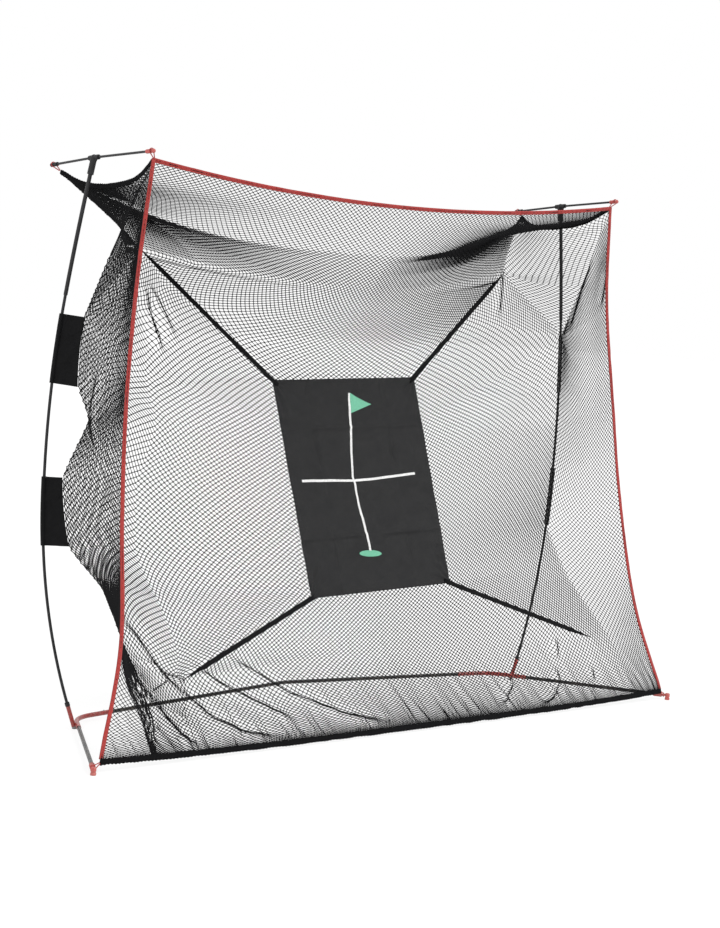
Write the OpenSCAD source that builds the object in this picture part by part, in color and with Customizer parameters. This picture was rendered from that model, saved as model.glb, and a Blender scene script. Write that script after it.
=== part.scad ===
// Free-standing golf practice net: a tubular base, two bow poles, two swivelling
// top bars, and a net hung between them with a target sheet.
// Millimetres. X to the right, Y to the back, Z up. The origin is on the ground,
// under the middle of the frame. The right half is drawn and mirrored to the left.

/* [Overall] */
// Distance between the knobs of the two front feet
foot_span = 3110; // [2600:5:3600]
// Depth from the front feet to the rear ends of the top bars
frame_depth = 920; // [820:5:1100]

/* [Base tubes] */
// Outer radius of the red corner tubes
corner_tube_radius = 9.5; // [9:0.1:12]
// Outer radius of the black tubes that slide into them
slim_tube_radius = 8; // [7:0.1:8.2]
// Wall thickness of the base tubes
tube_wall = 1.2; // [1:0.1:1.4]
// Height of the axis of the feet above the ground
foot_axis_height = 21; // [18:0.5:30]
// Radius of the bend in a corner tube
corner_bend_radius = 150; // [100:5:170]
// Length of a corner tube behind its bend point
corner_rear_leg = 187; // [170:1:220]
// Length of a corner tube from its bend point to the pole socket
corner_side_leg = 111; // [100:1:130]
// Length of a corner tube in front of the pole socket
corner_front_leg = 75; // [60:1:90]
// Depth that one base tube slides into the next
base_overlap = 62; // [50:1:80]
// Height of the rear tube in the middle of the net
rear_rise = 48; // [25:1:60]
// Distance of the rear bend from the front feet
rear_bend_distance = 891; // [820:1:960]
// Length of the bent middle piece of the rear tube, along each arm
centre_arm = 115; // [100:1:160]

/* [Pole socket] */
// Outer radius of the socket
socket_radius = 8.5; // [8:0.1:10]
// Length of the socket
socket_length = 88; // [70:1:110]
// Height of the collar on the socket's mouth
collar_height = 14; // [10:1:20]

/* [Bow poles] */
// Radius of the lower rods
rod_radius = 6; // [5:0.1:6.2]
// Radius of the upper tube
upper_tube_radius = 8; // [7.6:0.1:9]
// Outward lean of a pole where it leaves its socket, in degrees
pole_lean = 20; // [17:0.5:22]
// Lengths of the lower rod, the middle rod and the upper tube
pole_lengths = [790, 840, 523];
// Angles through which the tension of the net bends each of them
pole_bends = [17.4, 10.3, 2.3];
// Turn of the plane of the bow towards the back, in degrees
bow_turn = 8.8; // [0:0.1:12]
// Forward lean of the whole pole, in degrees
forward_lean = 1.9; // [0:0.1:4]
// Length of rod inside the next pole piece
rod_overlap = 55; // [40:1:80]

/* [Top bars] */
// Radius of a top bar's rods
bar_radius = 4.75; // [4:0.05:5]
// Length of the front rod from the middle of the hub
bar_front = 346; // [300:1:400]
// Length of the rear rod from the middle of the hub
bar_rear = 272; // [240:1:320]
// Rise of the front rod towards its tip, in degrees
bar_front_rise = 3.1; // [0:0.1:5]
// Drop of the rear rod towards its tip, in degrees
bar_rear_drop = 4.8; // [0:0.1:6]
// Inward turn of the front rod, in degrees
bar_toe_in = 3.2; // [0:0.1:6]
// Length of the hub's stem below the rods
stem_length = 66; // [60:1:80]

/* [Net] */
// Sag of the top hem in the middle
top_hem_sag = 85; // [40:5:120]
// Thickness of the netting solids
net_thickness = 3; // [2:0.5:5]
// Share of each mesh that is open, along its diagonals
mesh_open = 0.82; // [0.6:0.02:0.88]
// Width of the red webbing hems
hem_width = 20; // [15:1:24]
// Height of the gathered black hem at the bottom and on the roof's sides
gathered_hem = 24; // [18:1:28]
// Radius of the elastic corner loops
loop_radius = 2; // [1.5:0.1:3]

/* [Pole sleeves] */
// Length of each sleeve along the pole
sleeve_length = 268; // [220:1:300]
// Distances along the pole from the socket to the start of each sleeve
sleeve_starts = [660, 1290];
// Reach of each sleeve from the pole to the net, at its lower and upper end
sleeve_reaches = [[100, 71], [100, 88]];

/* [Target] */
// Width of the target sheet at its top
target_top_width = 788; // [600:1:900]
// Width of the target sheet at its bottom
target_bottom_width = 772; // [600:1:900]
// Length of the target sheet
target_length = 912; // [700:1:1000]
// Height of the middle of the target sheet
target_height = 980; // [900:5:1050]
// Lean of the target sheet, in degrees
target_lean = 18.2; // [12:0.1:22]
// Skew of the target sheet in its own plane, in degrees
target_skew = 1.9; // [-3:0.1:3]

/* [Hidden] */

red = "#c8322d";
black = "#1b1b1d";
steel = "#8f9396";
cloth = "#2d2d2f";

clear = 0.3;            // gap round a tube that slides in another
seat_gap = 0.3;         // gap between a soft piece and what holds it
arc_steps = 1440;       // fragments of a full turn, for long gentle bends
button_radius = 3;
button_travel = 3.5;
knob_radius = 11;
foot_neck = 18;          // from the knob to the middle of the neck that holds the loop
foot_neck_radius = 5.5;
cap_length = 26;        // sleeve of a bar cap, over the rod's end and beyond it
cap_cover = 18;
cap_radius = 8;
cap_neck = 5;           // radius of the neck, and its length
cap_neck_length = 7;
cap_ball = 8.5;
ferrule_wall = 1.4;
sleeve_cloth = 4;       // two layers and their seam
strap_width = 14;
strap_thickness = 2;
tie_length = 120;        // thin cord between a strap and the net
tie_radius = 1.5;
lap = 1;                // how far a straight length runs over a bend, to be one solid with it
bend_step = 0.05;       // how much slimmer a bend is than the straight length over it
target_thickness = 3;

// ---- vectors and curves ----

function unit(v) = v / norm(v);
function turned(v, a) = [v.x * cos(a) - v.y * sin(a), v.x * sin(a) + v.y * cos(a), v.z];
function leant(v, a) = [v.x, v.y * cos(a) - v.z * sin(a), v.y * sin(a) + v.z * cos(a)];
function mixed(a, b, t) = a + (b - a) * t;

// Smooth curve through points, t from 0 to 1
function spline(points, t) =
    let (
        spans = len(points) - 1,
        at = min(max(t, 0), 1) * spans,
        i = min(floor(at), spans - 1),
        f = at - i,
        b = points[i],
        c = points[i + 1],
        a = i > 0 ? points[i - 1] : 2 * b - c,
        d = i < spans - 1 ? points[i + 2] : 2 * c - b
    )
    0.5 * (2 * b + (c - a) * f + (2 * a - 5 * b + 4 * c - d) * f * f + (3 * b - a - 3 * c + d) * f * f * f);

// Puts local X, Y and Z along a, b and c, with the origin at p
module placed(p, a, b, c) {
    multmatrix([[a.x, b.x, c.x, p.x], [a.y, b.y, c.y, p.y], [a.z, b.z, c.z, p.z], [0, 0, 0, 1]]) children();
}

// Puts local Z along v, with the origin at p
module along(p, v) {
    translate(p) rotate([0, acos(unit(v).z), atan2(v.y, v.x)]) children();
}

module rod(a, b, r) {
    along(a, b - a) cylinder(h = norm(b - a), r = r, $fn = 48);
}

module on_side(side) {
    if (side > 0) children();
    else mirror([1, 0, 0]) children();
}

// ---- bow pole: a straight start, then three gentle arcs ----

function bow_angle(s) =
    s < 0 ? pole_lean :
    s < pole_lengths[0] ? pole_lean - pole_bends[0] * s / pole_lengths[0] :
    s < pole_lengths[0] + pole_lengths[1] ?
        pole_lean - pole_bends[0] - pole_bends[1] * (s - pole_lengths[0]) / pole_lengths[1] :
    max(pole_lean - pole_bends[0] - pole_bends[1] - pole_bends[2] * (s - pole_lengths[0] - pole_lengths[1])
        / pole_lengths[2], pole_lean - pole_bends[0] - pole_bends[1] - pole_bends[2]);

// Step along an arc that starts at angle a and turns by b over length l
function arc_chord(a, b, l) = let (r = l * 180 / PI / b) 2 * r * sin(b / 2) * [sin(a - b / 2), 0, cos(a - b / 2)];

function bow_local(s) =
    let (first = pole_lengths[0], second = pole_lengths[1])
    s <= 0 ? s * [sin(pole_lean), 0, cos(pole_lean)] :
    s <= first ? arc_chord(pole_lean, pole_bends[0] * s / first, s) :
    s <= first + second ? bow_local(first)
        + arc_chord(bow_angle(first), pole_bends[1] * (s - first) / second, s - first) :
    bow_local(first + second) + arc_chord(bow_angle(first + second),
        pole_bends[2] * (s - first - second) / pole_lengths[2], s - first - second);

pole_end = pole_lengths[0] + pole_lengths[1] + pole_lengths[2];
function bow_placed(v) = leant(turned(v, bow_turn), forward_lean);
function bow_direction(s) = bow_placed([sin(bow_angle(s)), 0, cos(bow_angle(s))]);

// The hub sits on the pole's end, and its rear rod reaches the back of the frame
stem_direction = bow_direction(pole_end);
hub_offset = bow_placed(bow_local(pole_end)) + 12 * stem_direction;
rear_rod_direction = [0.015, cos(bar_rear_drop), -sin(bar_rear_drop)];
front_rod_direction = turned([0, -cos(bar_front_rise), sin(bar_front_rise)], -bar_toe_in);
neck_middle = cap_length - cap_cover + cap_neck_length / 2;
ball_middle = cap_length - cap_cover + cap_neck_length + sqrt(cap_ball * cap_ball - cap_neck * cap_neck);
rear_span = (bar_rear + ball_middle) * unit(rear_rod_direction).y + cap_ball;

// ---- places, on the right side ----

front_y = -frame_depth / 2;
knob = [foot_span / 2, front_y + knob_radius, 0];
socket_lean = bow_direction(0);
socket_mouth = [0, frame_depth / 2 - rear_span - hub_offset.y, 0]
    + [foot_span / 2 - 311, 0, foot_axis_height + (socket_length - 10) * socket_lean.z];
function pole_point(s) = socket_mouth + bow_placed(bow_local(s));
socket_low = socket_mouth - socket_length * socket_lean;
socket_side = socket_mouth - (socket_length - 10) * socket_lean;   // beside the corner tube
foot_axis_end = [knob.x, knob.y, foot_axis_height];
outward = turned(unit([foot_axis_end.x - socket_side.x, foot_axis_end.y - socket_side.y, 0]), 90);
weld_depth = 0.6;
corner_pass = [socket_side.x, socket_side.y, foot_axis_height]
    - (corner_tube_radius + socket_radius - weld_depth) * outward;
foot_direction = unit(foot_axis_end - corner_pass);
corner_point = corner_pass - corner_side_leg * foot_direction;
rear_bend = [0, front_y + rear_bend_distance, rear_rise];
rear_direction = unit(corner_point - rear_bend);
rear_joint = corner_point - corner_rear_leg * rear_direction;
front_joint = corner_pass + corner_front_leg * foot_direction;
button_place = rear_joint + 42 * rear_direction;
hub = socket_mouth + hub_offset;
front_tip = hub + bar_front * unit(front_rod_direction);
rear_tip = hub + bar_rear * unit(rear_rod_direction);
front_neck = front_tip + neck_middle * unit(front_rod_direction);
rear_neck = rear_tip + neck_middle * unit(rear_rod_direction);

// ---- net outline, on the right side ----

net_top_front = front_neck + [-17, 11, -31];
net_top_rear = rear_neck + [-10, -32, -26];
net_bottom_front = knob + [-36, 12, 42];
net_bottom_inner = net_bottom_front + [-186, 0, -6];
flap_direction = unit([-1, -1, 0]);
function sleeve_edge(i, upper) =
    pole_point(sleeve_starts[i] + (upper ? sleeve_length : 0)) + sleeve_reaches[i][upper ? 1 : 0] * flap_direction;

front_drop = net_top_front.z - net_bottom_front.z;
front_slope = net_bottom_front - net_top_front;
// Inward and backward draw of the front edge, at four heights between its ends
front_draw = [[-19, 64, 0.196], [-30, 82, 0.407], [-54, 78, 0.605], [-71, 39, 0.817]];
front_curve = concat([net_top_front],
    [for (d = front_draw) mixed(net_top_front, net_bottom_front, d[2]) + [d[0], d[1], 0]], [net_bottom_front]);
seam_middle = mixed(net_top_front, net_top_rear, 0.5);
seam_hem = [net_top_front, mixed(net_top_front, net_top_rear, 0.24) + [-28, 0, -70],
    seam_middle + [-42, 30, -90], mixed(net_top_front, net_top_rear, 0.82) + [-30, -10, -58], net_top_rear];
// The netting hangs from the lower edge of a gathered hem, or rises from its upper edge
hem_reach = gathered_hem / 2 + net_thickness / 2 + seat_gap + 0.2;
function down_from(line, i) =
    let (along_line = unit(line[min(i + 1, len(line) - 1)] - line[max(i - 1, 0)]))
    unit(along_line.z * along_line - [0, 0, 1]);
seam_curve = concat([seam_hem[0] - [0, 0, hem_reach + 3]],
    [for (i = [1:4]) seam_hem[i] + (hem_reach + 0.8) * down_from(seam_hem, i)]);
net_corner_rear = seam_curve[4];
high_dip = mixed(net_top_rear, sleeve_edge(1, true), 0.5) + [-280, -35, 0];
low_dip = mixed(sleeve_edge(1, false), sleeve_edge(0, true), 0.38) + [-42, -48, 0];
rear_curve = [net_corner_rear, high_dip, sleeve_edge(1, true), sleeve_edge(1, false), low_dip,
    sleeve_edge(0, true), sleeve_edge(0, false), sleeve_edge(0, false) + [-30, -141, -155],
    sleeve_edge(0, false) + [-65, -249, -385], net_bottom_inner + [-51, 174, 135], net_bottom_inner];
hem_low = net_bottom_front.z - 20;
function hem_line(u) = [u * net_bottom_front.x, net_bottom_front.y, mixed(hem_low, net_bottom_front.z, pow(abs(u), 3))];

// Middle of the net from the top hem down to the bottom hem, at x = 0
target_top_y = target_length / 2 * sin(target_lean);
target_y = -38;
net_behind_target = 18;
function on_target(h) = [0, target_y + net_behind_target + (h - target_height) * tan(target_lean), h];
top_mid = [0, net_top_front.y, net_top_front.z - top_hem_sag];
roof_edge_back = net_thickness + seat_gap + 1.7;    // the roof starts behind the top hem's middle
roof_edge_drop = 3;
middle_curve = [top_mid, top_mid + [0, 62, -180], top_mid + [0, 190, -410],
    on_target(target_height + target_length / 2), on_target(target_height),
    on_target(target_height - target_length / 2), on_target(250) + [0, 14, 0], hem_line(0)];

// The roof runs from the top hem to the fold between the rear corners, the back from there
roof_share = 0.16;      // share of the middle curve that the roof takes
back_share = 0.66;      // where the back ends and the lower net starts
function fold_power(t) = 2 + 2.5 * pow(1 - t, 3);

function roof(u, t) =
    let (m = spline(middle_curve, roof_share * t), e = spline(seam_curve, t), p = mixed(2, fold_power(0), t))
    [u * e.x, mixed(m.y, e.y, pow(u, p)) + roof_edge_back * (1 - t), mixed(m.z, e.z, pow(u, 2))
        - roof_edge_drop * (1 - t)];

// The straps draw the back into two ridges on each side, from the target's corners.
// Between its ends a ridge stands clear behind the strap.
ridge_clear = 30;
strap_high = rear_curve[1];
strap_low = net_bottom_front + [-400, 74, 254];
ridge_rows = [0.1, 0.316, 0.667, 0.8];
function ridge(t) =
    let (
        top = target_corner(1, true) + [0, net_behind_target, 0],
        low = target_corner(1, false) + [0, net_behind_target, 0]
    )
    t < ridge_rows[1] ? along_strap(strap_high, top, (t - ridge_rows[0]) / (ridge_rows[1] - ridge_rows[0])) :
    t < ridge_rows[2] ? mixed(top, low, (t - ridge_rows[1]) / (ridge_rows[2] - ridge_rows[1])) :
    along_strap(low, strap_low, min((t - ridge_rows[2]) / (ridge_rows[3] - ridge_rows[2]), 1));
function along_strap(a, b, t) = mixed(a, b, t) + [0, 4 * ridge_clear * t * (1 - t), 0];
function ridge_strength(t) =
    t <= ridge_rows[0] ? 0 : t < ridge_rows[3] ? 1 : (1 - t) / (1 - ridge_rows[3]);
function tent(u, at) = u < at ? pow(u / at, 2) : (1 - u) / max(1 - at, 0.001);

function back_plain(u, t) =
    let (m = spline(middle_curve, mixed(roof_share, 1, t)), e = spline(rear_curve, t), p = fold_power(t))
    [u * e.x, mixed(m.y, e.y, pow(u, p)), mixed(m.z, e.z, pow(u, 2)) + hem_reach * pow(t, 8)];

function back(u, t) =
    let (
        plain = back_plain(u, t),
        strength = ridge_strength(t),
        crest = ridge(max(t, ridge_rows[0])),
        at = min(crest.x / spline(rear_curve, t).x, 0.999),
        lift = crest - back_plain(at, t)
    )
    plain + strength * tent(u, at) * [0, lift.y, lift.z];

// Side net: a patch between the front edge, the roof seam, the rear edge and the bottom hem
function side_net(s, t) =
    side_patch(s, t) + [0, (net_thickness + seat_gap + 0.5) * (1 - s), hem_reach * pow(t, 8)];
function side_patch(s, t) =
    let (
        f = spline(front_curve, t),
        r = spline(rear_curve, t),
        a = spline(seam_curve, s),
        b = mixed(net_bottom_front, net_bottom_inner, s)
    )
    mixed(f, r, s) + mixed(a, b, t)
        - mixed(mixed(net_top_front, net_bottom_front, t), mixed(net_corner_rear, net_bottom_inner, t), s);

// ---- netting solid: a lattice of diamonds over a patch ----

function patch_normal(f, s, t) = unit(cross(f(min(s + 0.01, 1), t) - f(max(s - 0.01, 0), t),
    f(s, min(t + 0.01, 1)) - f(s, max(t - 0.01, 0))));

// inset keeps its edges a hair from the next panels: at the start and end of s, then of t
module netting(patch, columns, rows, inset) {
    half = net_thickness / 2;
    function at(i, j) = [mixed(inset[0], 1 - inset[1], i / columns), mixed(inset[2], 1 - inset[3], j / rows)];
    function place(q, up) = patch(q[0], q[1]) + (up ? half : -half) * patch_normal(patch, q[0], q[1]);
    function index(i, j) = (j * (columns + 1) + i) * 2;
    lattice = [for (j = [0:rows], i = [0:columns]) each [place(at(i, j), true), place(at(i, j), false)]];
    full = [for (j = [1:rows - 1], i = [1:columns - 1]) if ((i + j) % 2 == 1) [i, j]];
    around = [[1, 0], [0, 1], [-1, 0], [0, -1]];
    inner = [for (c = full, k = around) each [
        place(at(c[0] + mesh_open * k[0], c[1] + mesh_open * k[1]), true),
        place(at(c[0] + mesh_open * k[0], c[1] + mesh_open * k[1]), false)]];
    first = len(lattice);
    diamonds = [for (n = [0:len(full) - 1], k = [0:3])
        let (
            c = full[n],
            m = (k + 1) % 4,
            a = index(c[0] + around[k][0], c[1] + around[k][1]),
            b = index(c[0] + around[m][0], c[1] + around[m][1]),
            p = first + (n * 4 + k) * 2,
            q = first + (n * 4 + m) * 2
        )
        each [[a, b, q], [a, q, p], [a + 1, q + 1, b + 1], [a + 1, p + 1, q + 1],
            [p, q, q + 1], [p, q + 1, p + 1]]];
    // Half diamonds close the four edges: each is [centre, first corner, tip, last corner]
    halves = concat(
        [for (j = [1:2:rows - 1]) [[0, j - 1], [1, j], [0, j + 1]]],
        [for (j = [1:2:rows - 1]) [[columns, j + 1], [columns - 1, j], [columns, j - 1]]],
        [for (i = [1:2:columns - 1]) [[i + 1, 0], [i, 1], [i - 1, 0]]],
        [for (i = [1:2:columns - 1]) [[i - 1, rows], [i, rows - 1], [i + 1, rows]]]);
    rims = [for (h = halves)
        let (a = index(h[0][0], h[0][1]), b = index(h[1][0], h[1][1]), c = index(h[2][0], h[2][1]))
        each [[a, b, c], [a + 1, c + 1, b + 1], [a, c, c + 1], [a, c + 1, a + 1]]];
    faces = [for (f = concat(diamonds, rims)) [f[0], f[2], f[1]]];
    polyhedron(points = concat(lattice, inner), faces = faces);
}

// ---- webbing: a flat band along a line, lying in a surface ----

module band(line, across, normal, width, thickness) {
    last = len(line) - 1;
    corners = [[-1, -1], [1, -1], [1, 1], [-1, 1]];
    rings = [for (i = [0:last], c = corners)
        line[i] + c[0] * width / 2 * across[i] + c[1] * thickness / 2 * normal[i]];
    walls = [for (i = [0:last - 1], k = [0:3])
        let (a = 4 * i + k, b = 4 * i + (k + 1) % 4)
        each [[a, b, b + 4], [a, b + 4, a + 4]]];
    ends = [[0, 2, 1], [0, 3, 2], [4 * last, 4 * last + 1, 4 * last + 2], [4 * last, 4 * last + 2, 4 * last + 3]];
    polyhedron(points = rings, faces = concat(walls, ends));
}

// Band centred on a line, lying across the direction given
module edge_band(line, spread, width, thickness) {
    last = len(line) - 1;
    tangent = [for (i = [0:last]) unit(line[min(i + 1, last)] - line[max(i - 1, 0)])];
    across = [for (i = [0:last]) unit(spread - (spread * tangent[i]) * tangent[i])];
    normal = [for (i = [0:last]) cross(tangent[i], across[i])];
    band(line, across, normal, width, thickness);
}

// ---- base ----

// Round bar from a to b, with a round hole through it
module pipe(a, b, r, hole) {
    d = unit(b - a);
    difference() {
        rod(a, b, r);
        rod(a - d, b + d, hole);
    }
}

module bent_tube(start_leg, end_leg, r, hole) {
    turn = acos(rear_direction * foot_direction);
    tangent_length = corner_bend_radius * tan(turn / 2);
    inward = unit(foot_direction - (rear_direction * foot_direction) * rear_direction);
    arc_start = corner_point - tangent_length * rear_direction;
    centre = arc_start + corner_bend_radius * inward;
    pipe(corner_point - start_leg * rear_direction, arc_start + lap * rear_direction, r, hole);
    placed(centre, -inward, rear_direction, cross(-inward, rear_direction))
        rotate_extrude(angle = turn, $fn = 360) translate([corner_bend_radius, 0]) difference() {
            circle(r - bend_step, $fn = 48);
            circle(hole + bend_step, $fn = 48);
        }
    pipe(corner_point + (tangent_length - lap) * foot_direction, corner_point + end_leg * foot_direction, r, hole);
}

module button_hole() {
    translate([button_place.x, button_place.y, button_place.z]) cylinder(h = 30, r = button_radius + clear, $fn = 32);
}

module corner_tube() {
    color(red) difference() {
        bent_tube(corner_rear_leg, corner_side_leg + corner_front_leg, corner_tube_radius, slim_tube_radius + clear);
        button_hole();
    }
}

// The stretch of the corner tube beside the socket, grown by a gap
module beside_socket(gap) {
    rod(corner_pass - 45 * foot_direction, corner_pass + 45 * foot_direction, corner_tube_radius + gap);
}

module pole_socket() {
    color(red) difference() {
        rod(socket_low, socket_mouth, socket_radius);
        rod(socket_low - socket_lean, socket_mouth + socket_lean, rod_radius + clear);
        beside_socket(0.05);
    }
}

// Grey plug in the lower end of the socket, cut flat where it stands on the ground
module socket_plug() {
    color(steel) difference() {
        union() {
            rod(socket_low - 24 * socket_lean, socket_low - seat_gap * socket_lean, socket_radius);
            rod(socket_low - socket_lean, socket_low + 8 * socket_lean, rod_radius);
        }
        translate([socket_low.x - 60, socket_low.y - 60, -60]) cube([120, 120, 60]);
        beside_socket(clear);
    }
}

module rear_tube() {
    inner_end = rear_joint + base_overlap * rear_direction;
    outer_start = rear_bend + centre_arm * rear_direction;
    color(black) difference() {
        rod(outer_start, inner_end, slim_tube_radius);
        rod(outer_start - rear_direction, inner_end + rear_direction, slim_tube_radius - tube_wall);
        button_hole();
    }
}

// Bent middle piece, with reduced ends that slide into the rear tubes
module rear_centre_bend() {
    spigot_radius = slim_tube_radius - tube_wall - clear;
    mirrored = [-rear_direction.x, rear_direction.y, rear_direction.z];
    turn = 180 - acos(rear_direction * mirrored);
    bend_radius = 300;
    tangent_length = bend_radius * tan(turn / 2);
    inward = unit(rear_direction + mirrored);
    centre = rear_bend + inward * bend_radius / cos(turn / 2);
    start = rear_bend + tangent_length * mirrored;
    color(black) {
        placed(centre, unit(start - centre), -mirrored, cross(unit(start - centre), -mirrored))
            rotate_extrude(angle = turn, $fn = 720) translate([bend_radius, 0])
            circle(slim_tube_radius - bend_step, $fn = 48);
        for (d = [rear_direction, mirrored]) {
            rod(rear_bend + (tangent_length - lap) * d, rear_bend + (centre_arm - 0.2) * d, slim_tube_radius);
            rod(rear_bend + (centre_arm - 1) * d, rear_bend + (centre_arm + 48) * d, spigot_radius);
        }
    }
}

module foot_tube() {
    color(black) difference() {
        rod(front_joint - base_overlap * foot_direction, foot_axis_end - (foot_neck + 17.5) * foot_direction,
            slim_tube_radius);
        rod(front_joint - (base_overlap + 1) * foot_direction, foot_axis_end - (foot_neck + 16) * foot_direction,
            slim_tube_radius - tube_wall);
    }
}

// Cap with a neck for the net's loop and a waisted knob that stands flat on the ground
module foot_cap() {
    socket_r = slim_tube_radius + 3;
    lobe = knob_radius;
    color(red) difference() {
        union() {
            rod(foot_axis_end - 64 * foot_direction, foot_axis_end - (foot_neck + 9) * foot_direction, socket_r);
            rod(foot_axis_end - (foot_neck + 10) * foot_direction, foot_axis_end, foot_neck_radius);
            translate([knob.x, knob.y, 0]) rotate_extrude($fn = 64)
                polygon([[0, 0], [lobe - 1, 0], [lobe, 1], [lobe, 8], [lobe - 2, 10.5], [lobe - 2, 13],
                    [lobe, 15.5], [lobe, 27], [lobe - 3, 30], [0, 30]]);
        }
        rod(foot_axis_end - 66 * foot_direction, foot_axis_end - (foot_neck + 17) * foot_direction,
            slim_tube_radius + 0.1);
    }
}

// ---- snap button in the joint between a corner tube and the rear tube ----

module snap_button() {
    top = corner_tube_radius + button_travel - 0.5;
    color(steel) translate(button_place) rotate_extrude($fn = 48)
        polygon([[0, 1], [button_radius, 1], [button_radius, 3.2], [4, 3.2], [4, 4.3], [button_radius, 4.3],
            [button_radius, top - 1.2], [button_radius - 1.2, top], [0, top]]);
}

// Folded leaf inside the rear tube: its upper arm carries the button
module snap_spring() {
    floor_height = 0.5 - sqrt(pow(slim_tube_radius - tube_wall, 2) - 4);
    leaf = 0.6;
    fold_radius = (0.9 - floor_height) / 2;
    side_axis = unit([-rear_direction.y, rear_direction.x, 0]);
    color(steel) placed(button_place, unit([rear_direction.x, rear_direction.y, 0]), side_axis, [0, 0, 1]) {
        translate([-6, -2, 0.9 - leaf]) cube([26, 4, leaf]);
        translate([-6, -2, floor_height]) cube([26, 4, leaf]);
        translate([20, 2, floor_height + fold_radius]) rotate([90, 90, 0]) rotate([0, 0, -180])
            linear_extrude(height = 4) intersection() {
                difference() {
                    circle(fold_radius, $fn = 48);
                    circle(fold_radius - leaf, $fn = 48);
                }
                translate([-20, 0]) square([40, 20]);
            }
    }
}

// ---- pole ----

// One arc of the pole, from distance s over length l
module bow_arc(s, l, bend, r) {
    start = bow_local(s);
    a = bow_angle(s);
    big = l * 180 / PI / bend;
    translate(socket_mouth) rotate([forward_lean, 0, 0]) rotate([0, 0, bow_turn])
        translate([start.x - big * cos(a), 0, start.z + big * sin(a)]) rotate([90, 0, 0]) rotate([0, 0, -a])
        rotate_extrude(angle = bend, $fn = arc_steps) translate([big, 0]) circle(r - bend_step, $fn = 48);
}

module pole_lower() {
    color(black) {
        rod(socket_mouth - (socket_length - 12) * socket_lean, socket_mouth + lap * socket_lean, rod_radius);
        bow_arc(0, pole_lengths[0], pole_bends[0], rod_radius);
    }
}

module pole_middle() {
    joint = pole_lengths[0] + pole_lengths[1];
    rest = pole_lengths[1] - 0.4;
    color(black) {
        bow_arc(pole_lengths[0] + 0.4, rest, pole_bends[1] * rest / pole_lengths[1], rod_radius);
        rod(pole_point(joint - lap), pole_point(joint) + rod_overlap * bow_direction(joint), rod_radius);
    }
}

module pole_upper() {
    start = pole_lengths[0] + pole_lengths[1];
    tail = stem_length - 10;
    curved = pole_lengths[2] - tail;
    curved_bend = pole_bends[2] * curved / pole_lengths[2];
    bend_end = pole_point(start + curved);
    color(black) difference() {
        union() {
            bow_arc(start, curved, curved_bend, upper_tube_radius);
            rod(bend_end - lap * stem_direction, bend_end + tail * stem_direction, upper_tube_radius);
        }
        rod(pole_point(start) - bow_direction(start), pole_point(start) + (rod_overlap + 2) * bow_direction(start),
            rod_radius + clear);
    }
}

module pole_collar() {
    color(black) difference() {
        rod(socket_mouth + 0.2 * socket_lean, socket_mouth + collar_height * socket_lean, socket_radius + 1.2);
        rod(socket_mouth - socket_lean, socket_mouth + (collar_height + 1) * socket_lean, rod_radius + clear);
    }
}

module pole_ferrule() {
    middle = pole_point(pole_lengths[0]);
    d = bow_direction(pole_lengths[0]);
    color(steel) difference() {
        rod(middle - 30 * d, middle + 30 * d, rod_radius + ferrule_wall);
        rod(middle - 31 * d, middle + 31 * d, rod_radius + clear);
    }
}

// ---- top bar ----

module top_hub() {
    bar_boss = bar_radius + 5;
    stem_radius = upper_tube_radius + 4.5;
    color(black) difference() {
        union() {
            rod(hub, hub + 30 * unit(front_rod_direction), bar_boss);
            rod(hub, hub + 30 * unit(rear_rod_direction), bar_boss);
            translate(hub) sphere(r = bar_boss + 2, $fn = 48);
            rod(hub - stem_length * stem_direction, hub, stem_radius);
            for (d = [front_rod_direction, rear_rod_direction]) hull() {
                rod(hub, hub + 22 * unit(d), 5);
                rod(hub - (stem_length - 22) * stem_direction, hub - 10 * stem_direction, 5);
            }
        }
        rod(hub - (stem_length + 1) * stem_direction, hub - 11.6 * stem_direction, upper_tube_radius + 0.15);
        rod(hub + 9 * unit(front_rod_direction), hub + 31 * unit(front_rod_direction), bar_radius + 0.1);
        rod(hub + 9 * unit(rear_rod_direction), hub + 31 * unit(rear_rod_direction), bar_radius + 0.1);
    }
}

module bar_rod(direction, length) {
    color(black) rod(hub + 9.3 * unit(direction), hub + length * unit(direction), bar_radius);
}

// Cap on a rod's tip: a sleeve, a neck for the loop, and a ball that keeps the loop on
module bar_cap(tip, direction, shade) {
    d = unit(direction);
    end = cap_length - cap_cover;
    color(shade) difference() {
        union() {
            rod(tip - cap_cover * d, tip + end * d, cap_radius);
            rod(tip + (end - 1) * d, tip + ball_middle * d, cap_neck);
            translate(tip + ball_middle * d) sphere(r = cap_ball, $fn = 48);
        }
        rod(tip - (cap_cover + 1) * d, tip + 0.2 * d, bar_radius + 0.1);
    }
}

// ---- hems, sleeves, target, straps and loops ----

module hem_top() {
    steps = 24;
    end = 1 - (hem_width / 2 + 1) / net_top_front.x;    // stops at the side hems
    line = [for (i = [0:steps]) let (u = end * (2 * i / steps - 1)) [u * net_top_front.x, net_top_front.y,
        mixed(top_mid.z, net_top_front.z, u * u)]];
    color(red) edge_band(line, [0, -0.3, 1], hem_width, net_thickness);
}

module hem_side() {
    steps = 18;
    line = [for (i = [0:steps]) spline(front_curve, mixed(-0.004, 0.992, i / steps))];
    color(red) edge_band(line, [1, 0, 0], hem_width, net_thickness);
}

// The netting is gathered into this hem
module hem_bottom() {
    steps = 20;
    line = [for (i = [0:steps]) hem_line(2 * i / steps - 1)];
    color(black) edge_band(line, [0, 0, -1], gathered_hem, 9);
}

module roof_seam() {
    // The same straight lengths as the edges of the netting solids that hang from it
    line = [mixed(seam_hem[0], seam_hem[2], 0.1), seam_hem[2], seam_hem[4]];
    color(black) edge_band(line, [0, 0, 1], gathered_hem, 6);
}

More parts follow.
